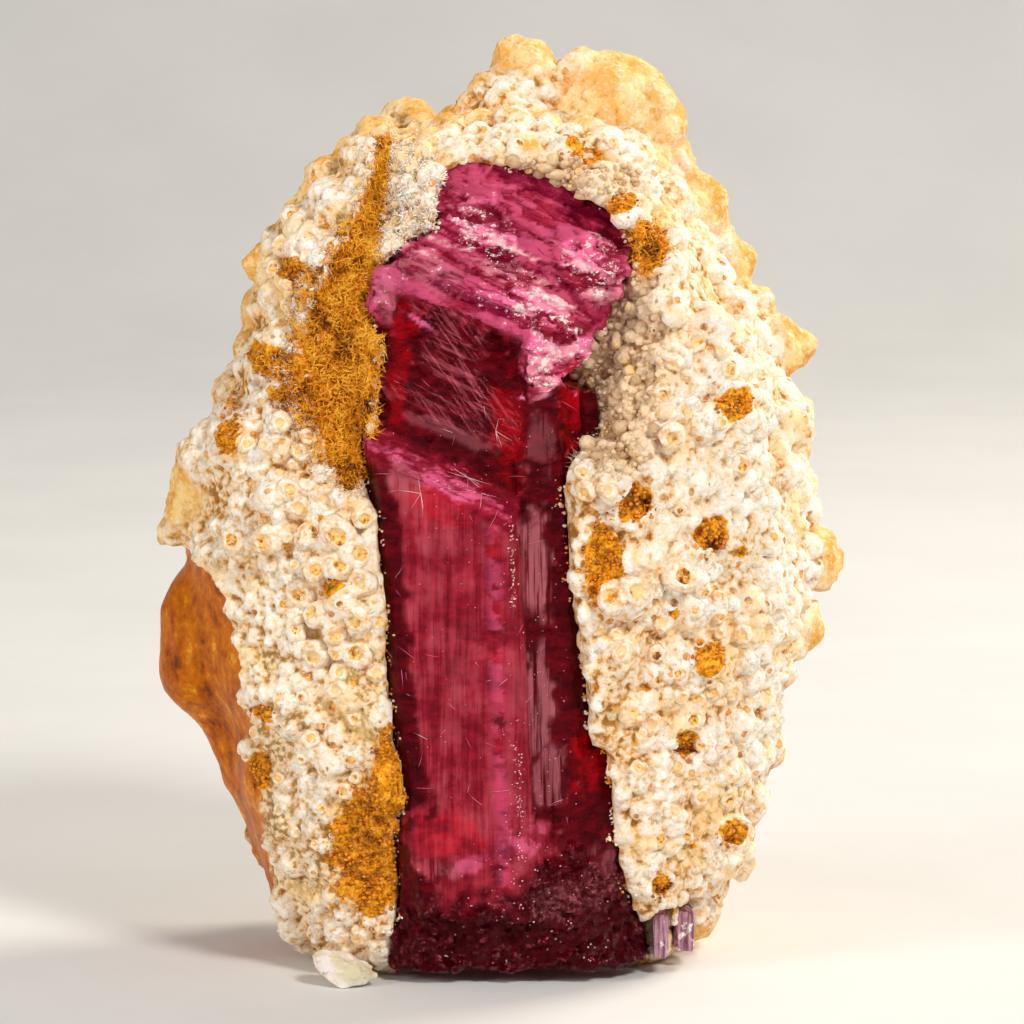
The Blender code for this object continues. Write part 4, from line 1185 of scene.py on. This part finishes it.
def crystal_material(colours):
    """A clear red share over a cloudy one, with light fading inside."""
    t = Tree("rhodonite")
    rose, pink, pale, mauve, glow, wine = t.surfaces("rose pink pale mauve glow wine")
    grit, upright, facets, foot, sheaf = t.surfaces("grit upright facets foot sheaf")
    streaks = t.noise(3.2, 4.0, 0.6, stretch=(1.0, 1.0, 0.05))
    lines = t.noise(9.0, 4.0, 0.65, stretch=(1.0, 1.0, 0.03))
    cloud = t.noise(0.7, 4.0, 0.6)
    sparkle = t.noise(4.5, 5.0, 0.7)
    flecks = t.noise(2.6, 3.0, 0.6, stretch=(0.7, 1.0, 1.5))
    slanting = t.noise(2.4, 4.0, 0.65, stretch=(0.5, 1.0, 1.4), distortion=0.4)
    threads = t.noise(5.0, 3.0, 0.65, stretch=(0.07, 1.0, 1.0), turn=math.radians(-26))
    steep = t.noise(5.5, 3.0, 0.65, stretch=(0.06, 1.0, 1.0), turn=math.radians(-56))
    strands = t.ramp(threads, 0.50, 0.64) * 0.5 + t.ramp(steep, 0.50, 0.64) * 0.6
    layered = grit * (1 - foot) * t.ramp(threads + facets * 0.15, 0.54, 0.44) * 0.7
    layered = layered + wine * t.ramp(threads + sparkle * 0.5, 0.50, 0.72)

    lined = 1 - upright * t.ramp(lines * 0.7 + streaks * 0.5, 0.66, 0.50) * 0.4
    rosy = rose * lined * (t.ramp(cloud + slanting * 0.4, 0.45, 0.85) * 0.4 + 0.6)
    # Painted sheen: the mauve down the upright faces stands for the grey reflection of the light, broken
    # by the streaks. On the foot it is left as specks of the crystal's own mauve.
    sheen = mauve * (1 - upright * t.ramp(streaks + lines * 0.5, 0.80, 0.62))
    sheen = sheen * (1 - foot * t.ramp(sparkle + flecks * 0.4, 0.84, 0.60))
    pinkish = pink * (t.ramp(slanting * 0.6 + facets * 0.7, 0.40, 0.80) * 1.1 + 0.1)
    # Painted glints: white sparks on the rough plates, ledge and foot, where light catches them.
    white = grit * t.ramp(sparkle + flecks * 0.8 + pink * 0.25 + facets * 0.1, 1.20, 1.34)
    white = white * t.ramp(pink + mauve * 0.5, 0.25, 0.8)
    # Partly the plates' own pale edges, partly painted highlight on them.
    palest = pale * t.ramp(slanting + facets * 0.5, 0.60, 0.95)
    dusty = foot * t.ramp(sparkle + flecks * 0.5 + cloud * 0.4, 0.99, 1.16)
    # Painted reflection: a milky mauve veil over the rose of the upright faces, where the soft light
    # reflects off them.
    milky_sheen = rose * upright * t.ramp(streaks * 0.6 + cloud * 0.8, 0.56, 0.92)
    # Painted light: bright clear red where light shines through the crystal, broken by the noise.
    glow = glow * t.ramp(cloud + slanting * 0.5, 0.50, 0.95)

    lit = t.ramp(slanting + cloud * 0.5, 0.60, 0.95) * (1 - foot * 0.6)
    colour = t.layers(
        colours.deep, (lit, colours.blood), (rosy, colours.rose), (milky_sheen * 0.5, colours.mauve),
        (sheaf * strands, colours.streak), (glow, colours.glow), (sheen, colours.mauve),
        (pinkish, colours.pink), (layered, colours.wine), (palest, colours.salmon),
        (dusty * 0.4, colours.mauve), (white, colours.frost),
    )
    cover = rosy * 0.35 + sheen * 0.4 + pinkish * 0.4 + palest * 0.4 + white + dusty * 0.3
    cover = cover + glow * 0.2 + 0.55 - foot * 0.1
    veil = t.node("ShaderNodeClamp", {}, {"Value": cover, "Min": 0.0, "Max": 0.92})

    relief = lines * upright * 0.8 + sparkle * grit * 1.2 + slanting * 0.4
    normal = t.bump(relief, 0.4, 0.06)
    clear = t.principled(
        Base_Color=(*colours.clear, 1.0), Roughness=0.08, IOR=1.6, Transmission_Weight=1.0,
        Normal=normal, Specular_IOR_Level=0.05, Specular_Tint=(*colours.clear, 1.0),
    )
    cloudy = t.principled(
        Base_Color=colour, Roughness=0.25, Normal=normal, Specular_IOR_Level=0.10,
        Specular_Tint=(*colours.clear, 1.0),
    )
    surface = t.node("ShaderNodeMixShader", {}, {0: veil, 1: clear, 2: cloudy})
    inside = {"Color": (*colours.absorbed, 1.0), "Density": colours.absorption}
    return t.finish(surface, t.node("ShaderNodeVolumeAbsorption", {}, inside))


def grow_hairs(settings):
    """Fine pale hairs, crumbs and specks that lie on the crystal's face."""
    rng = random.Random(settings.seed + 5)
    crystal = tree_of(CRYSTAL)
    heap = Heap()

    def lay_hair(x, z, length, angle, radius, tone):
        point, normal = on_front(crystal, x, z)
        if point is None:
            return
        direction = Vector((math.cos(angle), 0.0, math.sin(angle)))
        direction -= normal * direction.dot(normal)
        bend = random_vector(rng) * 0.15
        heap.needle(point + normal * 0.05 * MM, direction, length * MM, radius * MM, tone, bend)

    def lay_crumb(x, z, radius, tone):
        point, normal = on_front(crystal, x, z)
        if point is not None:
            heap.set_down(pebble(rng, radius * MM), point + normal * 0.02 * MM, tone)

    def crumb_of(smallest, largest, darkest, lightest):
        return rng.uniform(smallest, largest), rng.uniform(darkest, lightest)

    for _ in range(settings.hairs):
        x, z = rng.uniform(-5.2, 4.5), rng.uniform(8.0, 31.0)
        length, angle = rng.uniform(0.25, 1.1), rng.uniform(0, math.tau)
        lay_hair(x, z, length, angle, rng.uniform(0.008, 0.014), rng.uniform(0, 0.6))
    for x, z, arms in HAIR_STARS:
        for _ in range(arms):
            lay_hair(x, z, rng.uniform(0.6, 1.5), rng.uniform(0, math.tau), 0.014, rng.uniform(0.3, 1.0))
    for _ in range(settings.specks):
        lay_crumb(rng.gauss(2.3, 1.3), rng.uniform(5.5, 28.0), *crumb_of(0.012, 0.035, 0.6, 1.0))
        lay_crumb(rng.uniform(-4.5, 3.5), rng.uniform(5.5, 33.0), *crumb_of(0.010, 0.026, 0.5, 1.0))
    for _ in range(FOOT_CRUMBS):
        lay_crumb(rng.gauss(2.6, 2.6), rng.uniform(1.0, 6.8), *crumb_of(0.02, 0.06, 0.1, 0.8))
    for _ in range(RIDGE_CRUMBS):
        z = rng.uniform(19.3, SLAB_TOP)
        x = 1.05 + (SLAB_TOP - z) * 0.03 + rng.gauss(0, 0.09)
        lay_crumb(x, z, *crumb_of(0.012, 0.055, 0.5, 1.0))
        z = rng.uniform(6.6, 12.5)
        x = 1.35 + (12.0 - z) * 0.04 + rng.gauss(0, 0.11)
        lay_crumb(x, z, *crumb_of(0.012, 0.055, 0.4, 1.0))
        x = rng.uniform(-1.8, 3.4)
        lay_crumb(x, 37.2 - (x + 1.8) * 0.47 + rng.gauss(0, 0.3), rng.uniform(0.015, 0.05), 1.0)
    return heap.mesh("hairs", "tone")


def hair_material(colours):
    t = Tree("hairs")
    shade = t.surface("tone") + (t.noise(3.0, 2.0) - 0.5) * 0.4
    colour = t.blend(t.ramp(shade, 0.1, 0.9), colours.pink, colours.frost)
    return t.finish(t.principled(Base_Color=colour, Roughness=0.35))


# --- bars and chip --------------------------------------------------------------------------


def shape_bar(name):
    """A mauve bar with fine upright cleavage steps."""
    mesh = fine_copy(name, BAR_GRAIN, 1)
    skin = Skin(mesh)
    skin.move(0.10 * skin.noise(0.16, stretch=(1, 1, 0.06)) + 0.06 * skin.noise(0.3))
    return crisp(mesh, 30)


def bar_material(colours):
    t = Tree("mauve_bars")
    streaks = t.noise(5.0, 3.0, 0.6, stretch=(1.0, 1.0, 0.08))
    # Painted shade: the bars are dark where the streaks run low, in the grooves of the bump.
    colour = t.layers(
        colours.mauve_dark,
        (t.ramp(streaks, 0.35, 0.65), colours.bar),
        (t.ramp(t.noise(2.4, 3.0), 0.56, 0.66), colours.frost),
    )
    return t.finish(t.principled(Base_Color=colour, Roughness=0.5, Normal=t.bump(streaks, 0.5, 0.05)))


def shape_chip():
    """The pale chip with broken faces."""
    mesh = fine_copy(CHIP, CHIP_GRAIN, 1)
    skin = Skin(mesh)
    skin.move(0.16 * skin.noise(0.8) + 0.10 * chips(skin, 0.5, 1.5, -20, 2.0))
    return crisp(mesh, 25)


def chip_material(colours):
    t = Tree("pale_flake")
    colour = t.layers(
        colours.flake,
        (t.ramp(t.noise(0.8, 3.0), 0.4, 0.6), colours.frost),
        (t.ramp(t.noise(2.2, 4.0), 0.58, 0.7), colours.peach),
    )
    return t.finish(t.principled(
        Base_Color=colour, Roughness=0.3, Subsurface_Weight=0.4, Subsurface_Scale=0.5 * MM,
        Normal=t.bump(t.noise(4.0, 4.0), 0.4, 0.06),
    ))


# --- stage ----------------------------------------------------------------------------------


def sweep_floor():
    """A floor that curves up into a backdrop, in metres."""
    half, front, back, height, bend, bend_steps = 0.9, -0.8, 0.45, 0.9, 0.2, 12
    profile = [(front, 0.0), (back - bend, 0.0)]
    for step in range(1, bend_steps + 1):
        angle = math.pi / 2 * step / bend_steps
        profile.append((back - bend + bend * math.sin(angle), bend * (1 - math.cos(angle))))
    profile.append((back, height))
    mesh = bpy.data.meshes.new("floor")
    points = [(x, y, z) for y, z in profile for x in (-half, half)]
    faces = [(2 * i, 2 * i + 1, 2 * i + 3, 2 * i + 2) for i in range(len(profile) - 1)]
    mesh.from_pydata(points, [], faces)
    mesh.shade_smooth()
    return mesh


def floor_material(colour):
    t = Tree("studio_floor")
    grain = t.noise(0.05, 3.0)
    shade = t.blend(t.ramp(grain, 0.3, 0.7), colour, [part * 0.96 for part in colour])
    return t.finish(t.principled(Base_Color=shade, Roughness=0.8, Specular_IOR_Level=0.2))


# Round lights: (name, place, width, share of the main light's power, colour), in metres.
LIGHTS = (
    ("key", (0.18, -0.28, 0.30), 0.10, 1.0, (1.0, 0.97, 0.92)),
    ("left_fill", (-0.30, -0.22, 0.16), 0.16, 0.55, (1.0, 0.98, 0.96)),
    ("rim", (0.22, 0.14, 0.24), 0.12, 0.8, (1.0, 0.92, 0.80)),
)
LIGHTS_AIM = Vector((0.0, 0.0, 0.024))
SKY_COLOUR = (0.95, 0.97, 1.0, 1.0)


def add_light(name, place, size, power, colour):
    lamp = bpy.data.lights.new(name, "AREA")
    lamp.shape = "DISK"
    lamp.size = size
    lamp.energy = power
    lamp.color = colour
    light = bpy.data.objects.new(name, lamp)
    light.location = place
    light.rotation_euler = (LIGHTS_AIM - Vector(place)).to_track_quat("-Z", "Y").to_euler()
    bpy.context.scene.collection.objects.link(light)


def add_camera(settings):
    """Level with the crystal and a little above it, square to its face."""
    data = bpy.data.cameras.new("camera")
    data.sensor_width = 36.0
    data.lens = data.sensor_width * settings.distance / settings.frame_width
    data.clip_start, data.clip_end = 0.01, 10.0
    camera = bpy.data.objects.new("camera", data)
    tilt = settings.elevation
    aim = spot(*settings.aim)
    back = Vector((0.0, -math.cos(tilt), math.sin(tilt)))
    camera.location = aim + back * settings.distance * MM
    camera.rotation_euler = (math.pi / 2 - tilt, 0.0, 0.0)
    bpy.context.scene.collection.objects.link(camera)
    bpy.context.scene.camera = camera


# --- settings -------------------------------------------------------------------------------


def colour(name, description, default):
    return FloatVectorProperty(
        name=name, description=description, subtype="COLOR", size=3, min=0.0, max=1.0, default=default
    )


class CrustSettings(PropertyGroup):
    grain: FloatProperty(name="Grain", description="Mesh grain of the crust, mm", default=0.36, min=0.1)
    softening: IntProperty(name="Softening", description="Smoothing passes over the body", default=5)
    seed: IntProperty(name="Seed", description="Chooses where bumps and needles grow", default=4)
    needles: IntProperty(name="Needles", description="Number of ochre needles", default=12000)
    frost: IntProperty(name="Frost", description="Number of pale grains round the crystal", default=2600)
    golden: IntProperty(name="Golden grains", description="Grains on the ochre patches", default=3400)
    border_tries: IntProperty(
        name="Border tries", description="Places tried for grains on the crystal's border", default=18000
    )
    # Glare, white, cream, peach and rust run from the tops of the bumps down into the hollows: painted
    # light and shade over the crust's cream. Frost grains use some of them as plain colours.
    glare: colour("Glare", "Whitest tops", (1.0, 0.94, 0.86))
    white: colour("White", "Tops of the bumps", (0.96, 0.82, 0.64))
    cream: colour("Cream", "Main colour of the crust", (0.90, 0.64, 0.38))
    peach: colour("Peach", "Lower flanks of the bumps", (0.74, 0.38, 0.13))
    # Hollow is painted shade laid between the bumps, turning olive in the lower left. Rust is the
    # deepest of the painted shade there.
    hollow: colour("Hollow", "Olive dirt between the bumps", (0.40, 0.33, 0.14))
    rust_and_shade: colour("Rust", "Rusty dirt between the bumps", (0.38, 0.14, 0.02))
    moss: colour("Moss", "Grey-green specks of the crust", (0.34, 0.23, 0.10))
    pit: colour("Pit", "Bottoms of the craters", (0.09, 0.025, 0.003))
    ochre: colour("Ochre", "Lit ochre", (0.90, 0.34, 0.008))
    # On the needles, dark ochre low in the mat and the pale tips high on it are painted shade and light.
    ochre_dark: colour("Dark ochre", "Ochre in the hollows", (0.36, 0.09, 0.002))
    needle_tip: colour("Needle tips", "Palest needles", (1.0, 0.56, 0.045))
    cup_floor: colour("Cup floor", "Paler floors of the cups", (0.86, 0.40, 0.05))
    warm: colour("Warm", "Waxy golden knobs", (1.0, 0.68, 0.27))
    # Slope and slope tops are painted shade: the grey-brown of the places that face away from the light,
    # lighter on their tops.
    slope: colour("Slope", "Shaded slope beside the crystal", (0.42, 0.22, 0.09))
    slope_top: colour("Slope tops", "Tops on the shaded slope", (0.92, 0.70, 0.46))
    wax: colour("Wax", "Bare waxy layer", (0.62, 0.17, 0.002))
    wax_dark: colour("Dark wax", "Depths of the waxy layer", (0.42, 0.09, 0.002))


class CrystalSettings(PropertyGroup):
    grain: FloatProperty(name="Grain", description="Grain of the crystal, mm", default=0.17, min=0.08)
    seed: IntProperty(name="Seed", description="Chooses where hairs and specks lie", default=4)
    hairs: IntProperty(name="Hairs", description="Number of loose hairs", default=50)
    specks: IntProperty(name="Specks", description="Number of pairs of pale specks", default=130)
    absorption: FloatProperty(
        name="Absorption", description="How fast light fades inside, per metre", default=1500.0
    )
    absorbed: colour("Clear red", "Colour that passes through", (0.85, 0.02, 0.07))
    clear: colour("Clear tint", "Tint of the clear crystal's faces", (0.95, 0.12, 0.18))
    deep: colour("Deep red", "Cloudy dark red", (0.040, 0.001, 0.002))
    blood: colour("Blood red", "Lighter stretches of the dark red", (0.20, 0.002, 0.008))
    rose: colour("Rose", "Cloudy rose", (0.51, 0.021, 0.047))
    streak: colour("Streak", "Fine streaks in the dark red", (0.80, 0.16, 0.22))
    wine: colour("Wine", "Dark lines between the plates", (0.22, 0.003, 0.03))
    # Glow is painted light: the bright red where light shines through the crystal.
    glow: colour("Glow", "Clear bright red", (0.72, 0.001, 0.006))
    pink: colour("Pink", "Broken plates", (1.0, 0.18, 0.40))
    # Salmon is partly the plates' own pale edges and partly painted highlight on them.
    salmon: colour("Salmon", "Palest edges of the plates", (1.0, 0.56, 0.57))
    # Mauve is partly painted sheen, the grey reflection on the crystal's upright faces, and partly the
    # crystal's own mauve. The milky veil and the foot's dust use it too.
    mauve: colour("Mauve", "Greyish sheen", (0.46, 0.13, 0.16))
    bar: colour("Bars", "The small bars", (0.62, 0.32, 0.42))
    # Dark mauve is painted shade in the bars' grooves.
    mauve_dark: colour("Dark mauve", "Grooves of the small bars", (0.16, 0.05, 0.08))
    # Frost also makes the painted glints on the crystal's rough parts, besides the pale specks, hairs,
    # bar spots and chip.
    frost: colour("Frost", "Specks and chips", (0.95, 0.84, 0.80))
    flake: colour("Flake", "The pale chip", (0.74, 0.68, 0.46))
    peach: colour("Peach", "Stain on the pale chip", (0.66, 0.46, 0.26))


class StageSettings(PropertyGroup):
    distance: FloatProperty(name="Distance", description="Camera to the crystal, mm", default=300.0)
    frame_width: FloatProperty(name="Frame width", description="Width seen there, mm", default=51.2)
    elevation: FloatProperty(
        name="Elevation", description="Camera's height angle", default=math.radians(8), subtype="ANGLE"
    )
    aim: FloatVectorProperty(
        name="Aim", description="What the camera looks at, mm", default=(1.1, -5.0, 23.5)
    )
    key: FloatProperty(
        name="Key light", description="Power of the main light", default=1.10, subtype="POWER"
    )
    sky: FloatProperty(name="Surroundings", description="Strength of the even light", default=0.27)
    floor: colour("Floor", "Pale studio floor", (0.80, 0.79, 0.77))


# --- operators ------------------------------------------------------------------------------


class SPECIMEN_OT_crust(Operator):
    """Builds the crust that holds the crystal"""

    bl_idname = "specimen.crust"
    bl_label = "Crust"

    def execute(self, context):
        settings = context.scene.specimen_crust
        add_piece("crust", shape_crust(settings), crust_material(settings), CRUST)
        return {"FINISHED"}


class SPECIMEN_OT_cups(Operator):
    """Grows ring-shaped cups on the crust"""

    bl_idname = "specimen.cups"
    bl_label = "Ring Cups"

    def execute(self, context):
        settings = context.scene.specimen_crust
        add_piece("ring_cups", grow_cups(settings.seed), cup_material(settings), None)
        return {"FINISHED"}


class SPECIMEN_OT_needles(Operator):
    """Grows ochre needles in the channel and the patches"""

    bl_idname = "specimen.needles"
    bl_label = "Ochre Needles"

    def execute(self, context):
        settings = context.scene.specimen_crust
        material = needle_material(settings)
        add_piece("ochre_needles", grow_needles(settings), material, None)
        return {"FINISHED"}


class SPECIMEN_OT_grains(Operator):
    """Adds frost round the crystal and balls on the shaded slope"""

    bl_idname = "specimen.grains"
    bl_label = "Frost and Balls"

    def execute(self, context):
        settings = context.scene.specimen_crust
        add_piece("frost", grow_frost(settings), frost_material(settings), None)
        add_piece("grey_balls", grow_balls(settings), ball_material(settings), None)
        return {"FINISHED"}


class SPECIMEN_OT_crystal(Operator):
    """Builds the red crystal with the hairs and specks on it"""

    bl_idname = "specimen.crystal"
    bl_label = "Red Crystal"

    def execute(self, context):
        settings = context.scene.specimen_crystal
        material = crystal_material(settings)
        add_piece("rhodonite", shape_crystal(settings), material, CRYSTAL)
        add_piece("hairs", grow_hairs(settings), hair_material(settings), None)
        return {"FINISHED"}


class SPECIMEN_OT_fragments(Operator):
    """Builds the mauve bars and the pale chip"""

    bl_idname = "specimen.fragments"
    bl_label = "Bars and Chip"

    def execute(self, context):
        settings = context.scene.specimen_crystal
        material = bar_material(settings)
        for name in BARS:
            add_piece(name + "_dressed", shape_bar(name), material, name)
        add_piece("chip_dressed", shape_chip(), chip_material(settings), CHIP)
        return {"FINISHED"}


class SPECIMEN_OT_stage(Operator):
    """Sets the floor, the lights and the camera"""

    bl_idname = "specimen.stage"
    bl_label = "Stage"

    def execute(self, context):
        settings = context.scene.specimen_stage
        floor = bpy.data.objects.new("floor", sweep_floor())
        context.scene.collection.objects.link(floor)
        floor.data.materials.append(floor_material(settings.floor))
        add_camera(settings)
        for name, place, size, share, tint in LIGHTS:
            add_light(name, place, size, settings.key * share, tint)
        world = bpy.data.worlds.new("studio")
        world.use_nodes = True
        background = world.node_tree.nodes["Background"]
        background.inputs["Color"].default_value = SKY_COLOUR
        background.inputs["Strength"].default_value = settings.sky
        context.scene.world = world
        context.scene.view_settings.view_transform = "Standard"
        return {"FINISHED"}


class SPECIMEN_PT_panel(Panel):
    """Lists the specimen's pieces and their settings"""

    bl_idname = "SPECIMEN_PT_panel"
    bl_label = "Rhodonite Specimen"
    bl_space_type = "VIEW_3D"
    bl_region_type = "UI"
    bl_category = "Specimen"

    def draw(self, context):
        for title, settings, operators in (
            ("Crust", context.scene.specimen_crust, CRUST_OPERATORS),
            ("Crystal", context.scene.specimen_crystal, CRYSTAL_OPERATORS),
            ("Stage", context.scene.specimen_stage, STAGE_OPERATORS),
        ):
            box = self.layout.box()
            box.label(text=title)
            for name in settings.bl_rna.properties.keys():
                if name not in ("rna_type", "name"):
                    box.prop(settings, name)
            for operator in operators:
                box.operator(operator.bl_idname)


CRUST_OPERATORS = (SPECIMEN_OT_crust, SPECIMEN_OT_cups, SPECIMEN_OT_needles, SPECIMEN_OT_grains)
CRYSTAL_OPERATORS = (SPECIMEN_OT_crystal, SPECIMEN_OT_fragments)
STAGE_OPERATORS = (SPECIMEN_OT_stage,)
OPERATORS = CRUST_OPERATORS + CRYSTAL_OPERATORS + STAGE_OPERATORS
GROUPS = {
    "specimen_crust": CrustSettings,
    "specimen_crystal": CrystalSettings,
    "specimen_stage": StageSettings,
}


def register():
    for cls in (*GROUPS.values(), *OPERATORS, SPECIMEN_PT_panel):
        bpy.utils.register_class(cls)
    for name, group in GROUPS.items():
        setattr(bpy.types.Scene, name, PointerProperty(type=group))


def unregister():
    for name in GROUPS:
        delattr(bpy.types.Scene, name)
    for cls in reversed((*GROUPS.values(), *OPERATORS, SPECIMEN_PT_panel)):
        bpy.utils.unregister_class(cls)


def main():
    register()
    for operator in OPERATORS:
        group, name = operator.bl_idname.split(".")
        getattr(getattr(bpy.ops, group), name)()


if __name__ == "__main__":
    main()
